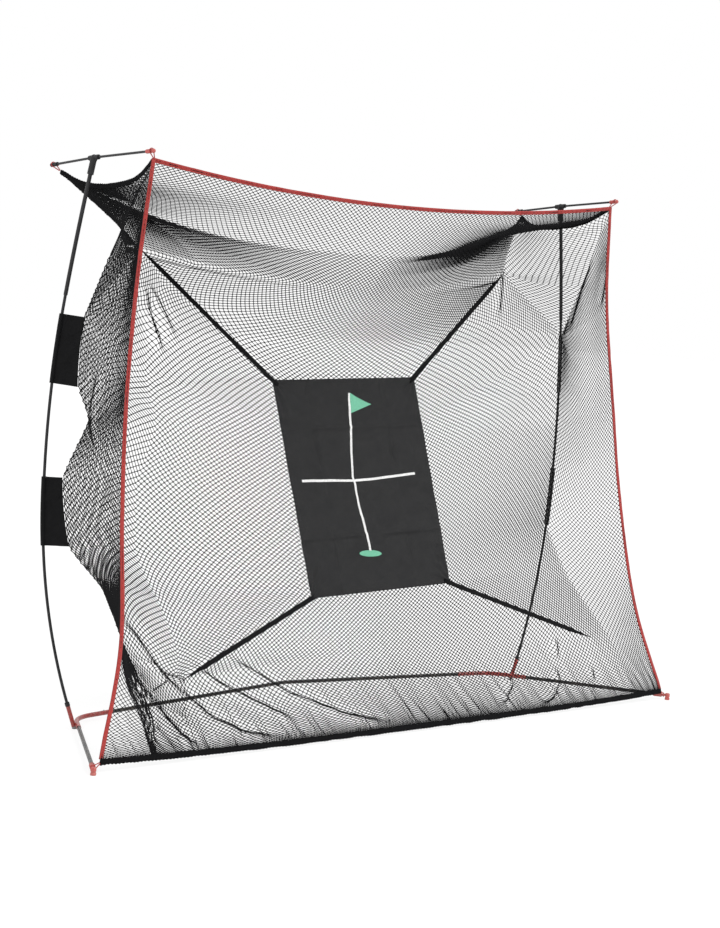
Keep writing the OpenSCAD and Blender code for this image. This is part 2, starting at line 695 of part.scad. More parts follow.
// Fabric sleeve: a tunnel for the pole and a flap that reaches to the net
module pole_sleeve(i) {
    middle = sleeve_starts[i] + sleeve_length / 2;
    half = sleeve_length / 2;
    axis = bow_direction(middle);
    flat = unit(flap_direction - (flap_direction * axis) * axis);
    // The pole bends inside the straight tunnel, so the tunnel lies halfway into the bow
    bow_depth = half * half * pole_bends[i] * PI / 360 / pole_lengths[i];
    inwards = bow_placed([-cos(bow_angle(middle)), 0, sin(bow_angle(middle))]);
    widest = i == 0 ? rod_radius + ferrule_wall : rod_radius;
    bore = widest + bow_depth / 2 + clear;
    low = sleeve_reaches[i][0] - 3;
    high = sleeve_reaches[i][1] - 3;
    color(cloth) placed(pole_point(middle) + bow_depth / 2 * inwards, flat, cross(axis, flat), axis) difference() {
        union() {
            translate([0, 0, -half]) cylinder(h = 2 * half, r = bore + 1.6, $fn = 64);
            translate([0, sleeve_cloth / 2, 0]) rotate([90, 0, 0]) linear_extrude(height = sleeve_cloth)
                polygon([[0, -half], [low, -half], [high, half], [0, half]]);
        }
        translate([0, 0, -half - 1]) cylinder(h = 2 * half + 2, r = bore, $fn = 64);
    }
}

module target_frame() {
    translate([0, target_y, target_height]) rotate([90 - target_lean, 0, 0]) rotate([0, 0, target_skew]) children();
}

// Corner of the target sheet, with X counted outwards on that side
function target_corner(side, upper) =
    let (
        x = (upper ? target_top_width : target_bottom_width) / 2,
        y = (upper ? 1 : -1) * target_length / 2,
        q = turned([x, y, 0], side * target_skew)
    )
    [q.x, target_y + q.y * sin(target_lean), target_height + q.y * cos(target_lean)];

module target_sheet() {
    half = target_length / 2;
    color(cloth) target_frame() linear_extrude(height = target_thickness, center = true)
        polygon([[-target_bottom_width / 2, -half], [target_bottom_width / 2, -half],
            [target_top_width / 2, half], [-target_top_width / 2, half]]);
}

// Webbing strap that ends in a tie cord
module strap(corner, anchor, lift) {
    d = unit(anchor - corner);
    facing = unit(lift - (lift * d) * d);
    reach = norm(anchor - corner) - tie_length;
    placed(corner + seat_gap * d, d, cross(facing, d), facing)
        translate([0, -strap_width / 2, -strap_thickness / 2]) cube([reach, strap_width, strap_thickness]);
    rod(corner + (reach - 5) * d, anchor, tie_radius);
}

module straps(side) {
    facing = [0, -cos(target_lean), sin(target_lean)];
    clearance = net_thickness / 2 + tie_radius + seat_gap;
    color(black) {
        strap(target_corner(side, true), strap_high - [0, clearance, 0], facing);
        strap(target_corner(side, false), strap_low - [0, clearance, 0], facing);
    }
}

// Elastic loop over the neck of a cap: a half turn and two strands to the net's corner
module neck_loop(neck, axis, bend, anchor) {
    d = unit(axis);
    toward = unit((anchor - neck) - ((anchor - neck) * d) * d);
    side = cross(d, toward);
    placed(neck, side, -toward, cross(side, -toward))
        rotate_extrude(angle = 180, $fn = 64) translate([bend, 0]) circle(loop_radius - bend_step, $fn = 24);
    for (s = [-1, 1]) rod(neck + s * bend * side - lap * toward, anchor + s * loop_radius * side, loop_radius);
}

module corner_loops() {
    bend = cap_radius + loop_radius + seat_gap;
    seam_end = unit(seam_hem[4] - seam_hem[3]);
    color(red) {
        neck_loop(front_neck, front_rod_direction, bend, net_top_front + [-3, 0, hem_width / 2 + 2]);
        neck_loop(rear_neck, rear_rod_direction, bend, net_top_rear + 1.6 * seam_end);
    }
}

// Elastic loop over the neck of a foot cap
module ground_loop() {
    neck = foot_axis_end - foot_neck * foot_direction;
    bend = foot_neck_radius + loop_radius + seat_gap;
    color(red) neck_loop(neck, foot_direction, bend, net_bottom_front + [2.4, 0, -4]);
}

// ---- nodes ----

module both() {
    for (side = [-1, 1]) on_side(side) children();
}

on_side(-1) corner_tube();  // corner_tube_left
on_side(1) corner_tube();  // corner_tube_right
on_side(-1) pole_socket();  // pole_socket_left
on_side(1) pole_socket();  // pole_socket_right
on_side(-1) socket_plug();  // socket_plug_left
on_side(1) socket_plug();  // socket_plug_right
on_side(-1) rear_tube();  // rear_tube_left
on_side(1) rear_tube();  // rear_tube_right
rear_centre_bend();
on_side(-1) foot_tube();  // foot_tube_left
on_side(1) foot_tube();  // foot_tube_right
on_side(-1) foot_cap();  // foot_cap_left
on_side(1) foot_cap();  // foot_cap_right
on_side(-1) snap_button();  // snap_button_left
on_side(1) snap_button();  // snap_button_right
on_side(-1) snap_spring();  // snap_spring_left
on_side(1) snap_spring();  // snap_spring_right
both() pole_collar();  // pole_collars
on_side(-1) pole_lower();  // pole_lower_left
on_side(1) pole_lower();  // pole_lower_right
on_side(-1) pole_middle();  // pole_middle_left
on_side(1) pole_middle();  // pole_middle_right
on_side(-1) pole_upper();  // pole_upper_left
on_side(1) pole_upper();  // pole_upper_right
both() pole_ferrule();  // pole_ferrules
on_side(-1) top_hub();  // top_hub_left
on_side(1) top_hub();  // top_hub_right
on_side(-1) bar_rod(front_rod_direction, bar_front);  // bar_front_rod_left
on_side(1) bar_rod(front_rod_direction, bar_front);  // bar_front_rod_right
on_side(-1) bar_rod(rear_rod_direction, bar_rear);  // bar_rear_rod_left
on_side(1) bar_rod(rear_rod_direction, bar_rear);  // bar_rear_rod_right
on_side(-1) bar_cap(front_tip, front_rod_direction, red);  // bar_front_cap_left
on_side(1) bar_cap(front_tip, front_rod_direction, red);  // bar_front_cap_right
on_side(-1) bar_cap(rear_tip, rear_rod_direction, black);  // bar_rear_cap_left
on_side(1) bar_cap(rear_tip, rear_rod_direction, black);  // bar_rear_cap_right
on_side(-1) color(cloth) netting(function(u, t) roof(u, t), 12, 4, [0.0003, 0.003, 0, 0.006]);  // net_roof_left
on_side(1) color(cloth) netting(function(u, t) roof(u, t), 12, 4, [0.0003, 0.003, 0, 0.006]);  // net_roof_right
on_side(-1) color(cloth) netting(function(u, t) back(u, back_share * t), 12, 16, [0.0003, 0.003, 0.001, 0.0003]);  // net_back_left
on_side(1) color(cloth) netting(function(u, t) back(u, back_share * t), 12, 16, [0.0003, 0.003, 0.001, 0.0003]);  // net_back_right
on_side(-1) color(cloth) netting(function(u, t) back(u, mixed(back_share, 1, t)), 12, 6, [0.0003, 0.003, 0.0003, 0]);  // net_lower_left
on_side(1) color(cloth) netting(function(u, t) back(u, mixed(back_share, 1, t)), 12, 6, [0.0003, 0.003, 0.0003, 0]);  // net_lower_right
on_side(-1) color(cloth) netting(function(s, t) side_net(s, t), 4, 16, [0, 0.01, 0.001, 0]);  // net_side_left
on_side(1) color(cloth) netting(function(s, t) side_net(s, t), 4, 16, [0, 0.01, 0.001, 0]);  // net_side_right
hem_top();
on_side(-1) hem_side();  // hem_left
on_side(1) hem_side();  // hem_right
hem_bottom();
on_side(-1) roof_seam();  // roof_seam_left
on_side(1) roof_seam();  // roof_seam_right
on_side(-1) for (i = [0, 1]) pole_sleeve(i);  // pole_sleeves_left
on_side(1) for (i = [0, 1]) pole_sleeve(i);  // pole_sleeves_right
target_sheet();
on_side(-1) straps(-1);  // straps_left
on_side(1) straps(1);  // straps_right
on_side(-1) corner_loops();  // corner_loops_left
on_side(1) corner_loops();  // corner_loops_right
both() ground_loop();  // ground_loops
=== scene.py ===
"""Looks of a free-standing golf practice net: its netting, webbing, sleeves, target sheet and finishes."""

import math

import bmesh
import bpy
import numpy as np
from bpy.props import FloatProperty, FloatVectorProperty, PointerProperty
from mathutils import Matrix, Vector


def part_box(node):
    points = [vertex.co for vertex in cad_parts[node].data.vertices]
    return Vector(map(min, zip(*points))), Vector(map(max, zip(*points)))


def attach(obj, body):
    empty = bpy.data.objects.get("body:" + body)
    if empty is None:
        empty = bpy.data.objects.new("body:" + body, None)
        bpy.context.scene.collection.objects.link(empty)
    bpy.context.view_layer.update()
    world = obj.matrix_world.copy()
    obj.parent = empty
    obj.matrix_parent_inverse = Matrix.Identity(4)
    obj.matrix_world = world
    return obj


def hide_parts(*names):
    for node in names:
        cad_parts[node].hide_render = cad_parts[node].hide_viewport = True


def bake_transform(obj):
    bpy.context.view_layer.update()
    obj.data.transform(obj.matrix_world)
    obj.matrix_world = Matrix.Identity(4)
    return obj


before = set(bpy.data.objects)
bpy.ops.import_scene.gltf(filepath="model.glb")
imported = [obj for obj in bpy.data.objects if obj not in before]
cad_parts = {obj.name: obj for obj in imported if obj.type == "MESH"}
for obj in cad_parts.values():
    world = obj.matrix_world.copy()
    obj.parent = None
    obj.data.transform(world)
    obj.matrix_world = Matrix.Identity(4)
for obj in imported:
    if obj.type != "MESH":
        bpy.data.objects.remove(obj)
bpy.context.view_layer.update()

bl_info = {
    "name": "Golf practice net",
    "version": (1, 0, 0),
    "blender": (4, 5, 0),
    "location": "View3D > Sidebar > Practice net",
    "description": "Adds the netting, webbing, sleeves, target and finishes of a golf practice net",
    "category": "Object",
}

SIDES = {"left": -1, "right": 1}

# Knots of the net's edges on the right half, in metres. The netting is sewn to these lines.
FRONT_EDGE = np.array([
    (1.2410, -0.1867, 2.2200), (1.2765, -0.1718, 1.7931), (1.3242, -0.2066, 1.3336),
    (1.3552, -0.2601, 0.9023), (1.3971, -0.3522, 0.4406), (1.5190, -0.4370, 0.0420)])
ROOF_EDGE = np.array([
    (1.2410, -0.1867, 2.2200), (1.2205, -0.0437, 2.1530), (1.2146, 0.1412, 2.1290),
    (1.2366, 0.2919, 2.1370), (1.2722, 0.4092, 2.1820)])
REAR_EDGE = np.array([
    (1.2722, 0.4092, 2.1820), (1.0092, 0.2348, 1.9072), (1.3063, 0.1304, 1.6325),
    (1.3217, 0.1344, 1.3659), (1.2906, 0.0993, 1.2285), (1.3504, 0.1682, 1.0043),
    (1.3166, 0.1545, 0.7368), (1.2480, 0.0135, 0.5900), (1.2330, -0.0945, 0.3518),
    (1.2820, -0.2630, 0.1710), (1.3330, -0.4370, 0.0360)])
MIDDLE_LINE = np.array([
    (0.0, -0.1867, 2.1350), (0.0, -0.1247, 1.9550), (0.0, 0.0033, 1.7250), (0.0, 0.1299, 1.4360),
    (0.0, -0.0200, 0.9800), (0.0, -0.1699, 0.5240), (0.0, -0.2460, 0.2500), (0.0, -0.4370, 0.0220)])
ROOF_SHARE = 0.16       # share of the middle line that the roof panel takes
ROOF_ROWS = 0.2         # share of the whole panel's rows that the roof takes
ZONE_ROWS = (0.2, 0.46, 0.728)  # rows where the roof, the back's upper half and its lower half end
SIDE_ZONE = 8           # number of the left side panel's zone, after those of the roof and the back
TURN_ROWS = (0.0, 0.02, 0.06, 0.12)     # rows of the back for which a half's fold and rise are given
SPREAD_ROWS = (0.5, 0.75, 1.0)          # rows of the whole net for which a half's spread is given
HALF_WIDTH, NET_LENGTH = 1.29, 2.79     # half the back's width, and the net's length from hem to hem
SIDE_SHARE = 0.48       # width of a side panel, as a share of half the back's width
NOTCH_SHARE = 0.86      # where the back ends in the notch at the upper strap, as a share of half its width
REAR_CURVE = 0.35       # how far the rear edge bends between its knots: 0 is straight, 1 a smooth curve
PACKED_FROM = 0.86      # share of the net's length below which its meshes are drawn together
PACKED = 2.9            # how closely they are drawn together
FOLD_FADE, FOLD_END = 0.12, 0.25        # share of a fold's line on which it fades, and what its ends keep
FOLD_LIFT = 0.35        # how far a fold stands up, as a share of its width

# The target: its middle, its tilt and turn, its right corners from its middle, and where its straps end
TARGET_CENTRE = np.array((0.0, -0.038, 0.98))
TARGET_LEAN = math.radians(18.2)
TARGET_SKEW = math.radians(1.9)
TARGET_CORNERS = ((0.394, 0.456), (0.386, -0.456))
NET_BEHIND_TARGET = np.array((0.0, 0.018, 0.0))
STRAP_HIGH = np.array((1.0092, 0.2348, 1.9072))
STRAP_LOW = np.array((1.1190, -0.3630, 0.2960))
# Rows of the back at the upper strap's end, the target's top and bottom, and the lower strap's end
RIDGE_ROWS = (0.1, 0.316, 0.667, 0.8)

# The net's halves. fold and rise: powers by which the back turns to its rear corner, at the turn rows.
# gather: how far the side is bunched at its rear edge near the ground. bulge: how far the side bows out near
# the roof. strap_low: where the lower strap ends. spread: how wide the back lies at the spread rows. crowd:
# how far the back's meshes are drawn towards its edge, low down. rear: knots of the rear edge.
HALVES = {
    "left": {"fold": (2.4, 2.1, 2.0, 2.0), "rise": (3.6, 3.2, 2.6, 2.0), "gather": 1.0, "bulge": 0.012,
             "strap_low": STRAP_LOW, "spread": (1.0, 1.15, 1.12), "crowd": 0.45,
             "rear": np.vstack([REAR_EDGE[:8], [(1.1950, -0.1000, 0.3500), (1.1800, -0.2400, 0.2030),
                                                (1.2750, -0.4370, 0.0340)]])},
    "right": {"fold": (1.7, 1.4, 1.3, 1.5), "rise": (1.5, 1.4, 1.4, 1.7), "gather": 0.0, "bulge": 0.0,
              "strap_low": np.array((1.2100, -0.2700, 0.2830)), "spread": (1.0, 1.12, 1.25), "crowd": 0.0,
              "rear": np.vstack([REAR_EDGE[:7], [(1.3050, -0.0100, 0.5200), (1.3350, -0.2500, 0.2850),
                                                 (1.3600, -0.3500, 0.1500), (1.3700, -0.4370, 0.0360)]])},
}
SLEEVE_ROW = 0.2        # row of the side panel where the upper sleeve's top is

# Necks of the caps that the elastic loops go round, and the directions along them
FRONT_NECK = np.array((1.25801, -0.19773, 2.25103))
FRONT_AXIS = np.array((-0.05574, -0.99698, 0.05408))
REAR_NECK = np.array((1.28219, 0.44116, 2.20798))
REAR_AXIS = np.array((0.0150, 0.99638, -0.08367))
FOOT_NECK = np.array((1.54655, -0.43311, 0.0210))
FOOT_AXIS = np.array((0.46939, -0.88299, 0.0))
CAP_LOOP, FOOT_LOOP = 0.0103, 0.0078    # radii of the loops' middle lines round the necks

# Pole inside the lower and the upper sleeve: its points from the lower end to the upper
SLEEVE_POLES = np.array([
    [(1.38736, 0.22523, 0.73682), (1.39281, 0.22386, 0.80358), (1.39657, 0.22222, 0.87046),
     (1.39904, 0.22038, 0.93738), (1.40056, 0.21840, 1.00434)],
    [(1.39238, 0.20514, 1.36591), (1.38782, 0.20222, 1.43269), (1.38233, 0.19915, 1.49939),
     (1.37588, 0.19594, 1.56601), (1.36849, 0.19259, 1.63251)]])
SLEEVE_REACHES = ((0.100, 0.071), (0.100, 0.088))   # from the pole to the net, at the lower and upper ends
SLEEVE_BORES = (0.0095, 0.0085)     # radius of the pole inside
SLEEVE_FLAT = (0.23, 0.268)         # width and length of a sleeve's cut
FLAP_DIRECTION = np.array((-1.0, -1.0, 0.0)) / math.sqrt(2)

# Two points between which the net's upper corners would follow the top bars. bend works them out for each side
# but makes nothing follow them
BLEND_START = (1.049, 0.10, 1.707)
BLEND_END = (1.250, 0.10, 2.200)

# Rows of a side panel near the ground, and where across it the bunching starts and what place that moves to
GATHER_ROWS = (0.70, 0.80, 0.88, 0.94, 1.0)
GATHER_KNEE = (0.1, 0.1, 0.16, 0.35, 0.5)
GATHER_REACH = (0.1, 0.2, 0.46, 0.75, 0.92)

# Folds of the netting: how wide the bunched strip is, how far it is drawn in, and the line that it follows
MAIN_FOLDS = [
    (0.025, 0.90, [(-1.198, -0.048, 0.490), (-1.161, -0.106, 0.421), (-1.149, -0.264, 0.308),
                   (-1.096, -0.375, 0.231), (-0.983, -0.386, 0.143), (-0.849, -0.404, 0.082),
                   (-0.668, -0.424, 0.042)]),
    (0.025, 0.90, [(-0.886, -0.299, 0.371), (-0.691, -0.289, 0.266), (-0.567, -0.312, 0.191),
                   (-0.519, -0.318, 0.176), (-0.317, -0.373, 0.096), (-0.131, -0.409, 0.054)]),
    (0.023, 0.88, [(-1.168, -0.274, 0.196), (-1.169, -0.330, 0.156), (-1.148, -0.403, 0.101),
                   (-1.076, -0.426, 0.055)]),
    (0.026, 0.90, [(-1.029, -0.328, 0.333), (-0.925, -0.329, 0.265), (-0.782, -0.336, 0.194),
                   (-0.587, -0.380, 0.099)]),
    (0.025, 0.88, [(-1.172, -0.233, 0.233), (-1.160, -0.255, 0.253), (-1.145, -0.291, 0.279)]),
    (0.026, 0.90, [(-1.006, 0.184, 1.759), (-0.994, 0.162, 1.686), (-0.972, 0.147, 1.598),
                   (-0.945, 0.142, 1.533)]),
    (0.025, 0.88, [(-1.022, 0.162, 1.691), (-0.984, 0.148, 1.607), (-0.932, 0.140, 1.506)]),
    (0.024, 0.85, [(-0.979, 0.188, 1.764), (-0.946, 0.172, 1.708), (-0.868, 0.147, 1.561)]),
    (0.030, 0.85, [(1.234, 0.385, 2.155), (1.125, 0.319, 2.123), (0.970, 0.226, 2.088),
                   (0.747, 0.099, 2.044), (0.607, 0.052, 2.005)]),
    (0.026, 0.90, [(0.989, 0.225, 1.901), (0.976, 0.213, 1.834), (0.939, 0.178, 1.719)]),
    (0.025, 0.88, [(0.992, -0.260, 0.280), (0.970, -0.295, 0.221)]),
    (0.020, 0.85, [(0.940, -0.329, 0.169), (0.919, -0.355, 0.132), (0.877, -0.388, 0.088)]),
    (0.025, 0.88, [(1.148, -0.344, 0.162), (1.132, -0.375, 0.114)]),
    (0.026, 0.90, [(0.650, -0.340, 0.140), (0.607, -0.367, 0.107), (0.543, -0.403, 0.064)]),
    (0.026, 0.90, [(0.880, -0.385, 0.092), (0.837, -0.401, 0.070), (0.770, -0.421, 0.043)]),
]
SIDE_FOLDS = {
    "left": [
        (0.024, 0.80, [(-1.305, 0.025, 1.405), (-1.304, 0.047, 1.337), (-1.295, 0.082, 1.258)]),
        (0.024, 0.80, [(-1.292, 0.080, 1.235), (-1.312, 0.033, 1.177), (-1.329, -0.023, 1.133)]),
    ],
    "right": [
        (0.022, 0.80, [(1.266, -0.069, 1.982), (1.275, -0.008, 1.854), (1.285, 0.056, 1.678)]),
        (0.018, 0.65, [(1.264, -0.173, 1.938), (1.273, -0.142, 1.784)]),
    ],
}

# Creases where the target sheet was folded in its packing, in metres from its middle: the heights of the
# level ones, the places of the upright ones, and how wide they are
CREASES_LEVEL = (0.245, -0.215)
CREASES_UPRIGHT = (-0.215, 0.195)
CREASE_WIDTH = 0.008


def ring(x, y, rx, ry, tilt, count=28):
    """Corners of an ellipse round a point, sheared by tilt."""
    turns = [2 * math.pi * k / count for k in range(count)]
    return [(x + rx * math.cos(a), y + ry * math.sin(a) + tilt * rx * math.cos(a)) for a in turns]


# Outlines of the prints on the target, in metres across and up from its middle: the pole and the cross's bar,
# and the pennant and the hole
POLE_PRINT = [
    [(-0.037, -0.288), (-0.025, -0.288), (-0.046, -0.035), (-0.047, 0.036), (-0.005, 0.299), (0.012, 0.394),
     (0.001, 0.394), (-0.017, 0.299), (-0.058, 0.036), (-0.057, -0.035)],
    [(-0.325, 0.024), (-0.048, 0.011), (0.05, 0.013), (0.299, 0.026), (0.299, 0.0365), (0.05, 0.0235),
     (-0.048, 0.0215), (-0.325, 0.0345)],
]
FLAG_PRINT = [
    [(-0.004, 0.305), (0.119, 0.341), (0.012, 0.394)],
    ring(-0.031, -0.296, 0.060, 0.0135, -0.075),
]


class NetSizes(bpy.types.PropertyGroup):
    mesh_width: FloatProperty(name="Mesh width", description="Width of one diamond of the netting",
                              default=0.025, min=0.015, max=0.06, unit="LENGTH")
    mesh_height: FloatProperty(name="Mesh height", description="Height of one diamond of the netting",
                               default=0.0187, min=0.012, max=0.06, unit="LENGTH")
    strand: FloatProperty(name="Twine", description="Thickness of the netting's twine",
                          default=0.0041, min=0.001, max=0.008, unit="LENGTH")
    knot: FloatProperty(name="Knot", description="Width of the knot at each crossing",
                        default=0.0094, min=0.001, max=0.016, unit="LENGTH")
    side_strand: FloatProperty(name="Side twine",
                               description="Thickness of the twine of the sides and the roof",
                               default=0.0034, min=0.001, max=0.008, unit="LENGTH")
    side_knot: FloatProperty(name="Side knot", description="Width of a knot of the sides and the roof",
                             default=0.0082, min=0.001, max=0.016, unit="LENGTH")


class WebbingSizes(bpy.types.PropertyGroup):
    hem_width: FloatProperty(name="Hem width", description="Width of the red webbing round the mouth",
                             default=0.0165, min=0.01, max=0.03, unit="LENGTH")
    hem_thickness: FloatProperty(name="Hem thickness", description="Thickness of the folded webbing",
                                 default=0.0030, min=0.001, max=0.006, unit="LENGTH")
    strap_width: FloatProperty(name="Strap width", description="Width of the target's straps",
                               default=0.020, min=0.008, max=0.03, unit="LENGTH")
    gathered_height: FloatProperty(name="Gathered hem", description="Height of the black gathered hems",
                                   default=0.030, min=0.01, max=0.04, unit="LENGTH")


class TargetSizes(bpy.types.PropertyGroup):
    top_width: FloatProperty(name="Top width", description="Width of the target sheet at its top",
                             default=0.788, min=0.5, max=1.0, unit="LENGTH")
    bottom_width: FloatProperty(name="Bottom width", description="Width of the target sheet at its bottom",
                                default=0.772, min=0.5, max=1.0, unit="LENGTH")
    length: FloatProperty(name="Length", description="Length of the target sheet",
                          default=0.912, min=0.5, max=1.1, unit="LENGTH")
    print_colour: FloatVectorProperty(name="Flag colour",
                                      description="Colour of the printed pennant and hole",
                                      subtype="COLOR", default=(0.155, 0.52, 0.335), min=0, max=1)


class FinishColours(bpy.types.PropertyGroup):
    red: FloatVectorProperty(name="Red", description="Colour of the painted tubes and the webbing",
                             subtype="COLOR", default=(0.37, 0.023, 0.018), min=0, max=1)
    black: FloatVectorProperty(name="Black", description="Colour of the poles and black tubes",
                               subtype="COLOR", default=(0.008, 0.008, 0.009), min=0, max=1)
    twine: FloatVectorProperty(name="Netting", description="Colour of the netting's twine",
                               subtype="COLOR", default=(0.005, 0.005, 0.0055), min=0, max=1)


# ---- curves and surfaces ----

def spline(points, t):
    """Smooth curve through points. t runs from 0 to 1 and may be an array."""
    p = np.asarray(points, float)
    spans = len(p) - 1
    at = np.clip(np.atleast_1d(t), 0, 1) * spans
    i = np.minimum(at.astype(int), spans - 1)
    f = (at - i)[:, None]
    q = np.vstack([2 * p[0] - p[1], p, 2 * p[-1] - p[-2]])
    a, b, c, d = q[i], q[i + 1], q[i + 2], q[i + 3]
    return 0.5 * (2 * b + (c - a) * f + (2 * a - 5 * b + 4 * c - d) * f * f
                  + (3 * b - a - 3 * c + d) * f ** 3)


def mixed(a, b, t):
    return a + (b - a) * t


def unit(v):
    return v / np.maximum(np.linalg.norm(v, axis=-1, keepdims=True), 1e-12)


def target_point(x, y, lift=0.0):
    """Point of the target's plane at x across and y up, lifted towards the player."""
    x, y = np.asarray(x, float), np.asarray(y, float)
    across = x * math.cos(TARGET_SKEW) - y * math.sin(TARGET_SKEW)
    up = x * math.sin(TARGET_SKEW) + y * math.cos(TARGET_SKEW)
    return np.stack([across + TARGET_CENTRE[0],
                     TARGET_CENTRE[1] + up * math.sin(TARGET_LEAN) - lift * math.cos(TARGET_LEAN),
                     TARGET_CENTRE[2] + up * math.cos(TARGET_LEAN) + lift * math.sin(TARGET_LEAN)], -1)


def rear_edge(t, half):
    """The rear edge hangs almost straight between the places where it is held."""
    knots = np.linspace(0, 1, len(half["rear"]))
    straight = np.stack([np.interp(t, knots, half["rear"][:, k]) for k in range(3)], -1)
    return mixed(straight, spline(half["rear"], t), REAR_CURVE)


def turned_edge(u, m, e, fold, rise):
    """Points across the net from its middle to an edge. The turn follows the powers fold and rise."""
    return np.stack([u * e[:, 0], mixed(m[:, 1], e[:, 1], u ** fold),
                     mixed(m[:, 2], e[:, 2], u ** rise)], -1)


def roof(u, t, half):
    """The roof on the right: u from the middle to the edge, t from the top hem to the back."""
    return turned_edge(u, spline(MIDDLE_LINE, ROOF_SHARE * t), spline(ROOF_EDGE, t),
                       mixed(2.0, half["fold"][0], t), mixed(2.0, half["rise"][0], t))


def back_plain(u, t, half):
    """The back on the right as it would hang without its straps."""
    fold, rise = (np.interp(t, TURN_ROWS, half[key]) for key in ("fold", "rise"))
    return turned_edge(u, spline(MIDDLE_LINE, mixed(ROOF_SHARE, 1.0, t)), rear_edge(t, half), fold, rise)


def ridge(t, half):
    """Line that the straps draw the back into and that runs on to the bottom hem, with a row for each t."""
    top, low = (target_point(*corner) + NET_BEHIND_TARGET for corner in TARGET_CORNERS)
    r = RIDGE_ROWS
    t = t[:, None]
    upper = mixed(STRAP_HIGH, top, np.clip((t - r[0]) / (r[1] - r[0]), 0, 1))
    beside = mixed(top, low, (t - r[1]) / (r[2] - r[1]))
    lower = mixed(low, half["strap_low"], np.clip((t - r[2]) / (r[3] - r[2]), 0, 1))
    end = np.array((half["strap_low"][0] + 0.02, MIDDLE_LINE[-1][1], MIDDLE_LINE[-1][2]))
    last = mixed(half["strap_low"], end, np.clip((t - r[3]) / (1 - r[3]), 0, 1))
    return np.where(t < r[1], upper, np.where(t < r[2], beside, np.where(t < r[3], lower, last)))


def back(u, t, half):
    """The back on the right, drawn into the ridge by its straps."""
    r = RIDGE_ROWS
    strength = np.clip((t - r[0]) / 0.02, 0, 1)
    crest = ridge(np.maximum(t, r[0]), half)
    at = np.minimum(crest[:, 0] / rear_edge(t, half)[:, 0], 0.999)
    lift = crest - back_plain(at, t, half)
    tent = np.where(u < at, (u / at) ** 2, (1 - u) / np.maximum(1 - at, 0.001))
    lift[:, 0] = 0
    return back_plain(u, t, half) + (strength * tent)[:, None] * lift


def half_panel(u, rows, half):
    """The roof and the back on the right: u from the middle to the edge, rows from 0 at the top hem to 1."""
    return np.where((rows < ROOF_ROWS)[:, None], roof(u, np.clip(rows / ROOF_ROWS, 0, 1), half),
                    back(u, np.clip((rows - ROOF_ROWS) / (1 - ROOF_ROWS), 0, 1), half))


def side_plain(s, t, half):
    """The side panel on the right as it would hang between its edges."""
    front, rear, top = spline(FRONT_EDGE, t), rear_edge(t, half), spline(ROOF_EDGE, s)
    s, t = s[:, None], t[:, None]
    return mixed(front, rear, s) + (1 - t) ** 4 * (top - mixed(FRONT_EDGE[0], REAR_EDGE[0], s))


def side_net(a, t, half):
    """The side panel on the right: a from the front hem to the rear edge, t from the roof's edge down.
    It is drawn tight from the top corner to the upper sleeve, and bunched at the rear edge low down."""
    knee, reach = (np.interp(t, GATHER_ROWS, values) for values in (GATHER_KNEE, GATHER_REACH))
    gathered = np.where(a < knee, a * reach / knee, 1 - (1 - a) * (1 - reach) / (1 - knee))
    s = mixed(a, gathered, half["gather"])
    plain = side_plain(s, t, half)
    at = np.clip(t / SLEEVE_ROW, 0.02, 0.98)
    row = np.minimum(t, SLEEVE_ROW)
    fold = mixed(FRONT_EDGE[0], REAR_EDGE[2], (row / SLEEVE_ROW)[:, None])
    fold[:, 1] += half["bulge"] * np.sin(math.pi * row / SLEEVE_ROW)
    lift = fold - side_plain(at, row, half)
    strength = np.clip(1 - (t - SLEEVE_ROW) / 0.02, 0, 1) * np.clip(t / 0.03, 0, 1)
    tent = np.where(s < at, s / at, (1 - s) / (1 - at))
    return plain + (strength * tent)[:, None] * lift


def nearest_on(line, points):
    """For each point, the nearest place on a line through several points, and how far along it that is."""
    line = np.asarray(line, float)
    best = np.full(len(points), np.inf)
    place, along = np.zeros_like(points), np.zeros(len(points))
    spans = len(line) - 1
    for k in range(spans):
        a, d = line[k], line[k + 1] - line[k]
        f = np.clip((points - a) @ d / d.dot(d), 0, 1)
        q = a + f[:, None] * d
        far = np.linalg.norm(points - q, axis=1)
        near = far < best
        best[near], place[near], along[near] = far[near], q[near], (k + f[near]) / spans
    return best, place, along


def creased(points, folds, proud, free):
    """Draws the netting towards each fold's line, so that its meshes bunch there, and lifts it a little.
    free is 0 where a hem holds the netting."""
    moved = points.copy()
    for width, pull, line in folds:
        far, place, along = nearest_on(line, points)
        fade = np.clip(np.minimum(along, 1 - along) / FOLD_FADE, FOLD_END, 1)
        share = free * pull * fade * np.exp(-(far / width) ** 2)
        moved += (place - points) * share[:, None] + (FOLD_LIFT * width * share)[:, None] * proud
    return moved


class EvenRows:
    """Turns a share of a column's length into the surface's own row, so that meshes are alike in size."""

    def __init__(self, surface, first=0.0, columns=61, samples=501):
        self.at = np.linspace(first, 1, columns)
        self.rows = np.linspace(0, 1, samples)
        self.share = []
        for u in self.at:
            p = surface(np.full(samples, u), self.rows)
            run = np.concatenate([[0], np.cumsum(np.linalg.norm(np.diff(p, axis=0), axis=1))])
            self.share.append(run / run[-1])
        self.surface = surface

    def __call__(self, u, share):
        a = (u - self.at[0]) / (1 - self.at[0]) * (len(self.at) - 1)
        i = np.clip(a.astype(int), 0, len(self.at) - 2)
        f = a - i
        t = np.zeros(len(u))
        for k in range(len(self.at) - 1):
            here = i == k
            low = np.interp(share[here], self.share[k], self.rows)
            high = np.interp(share[here], self.share[k + 1], self.rows)
            t[here] = mixed(low, high, f[here])
        return self.surface(u, t), t


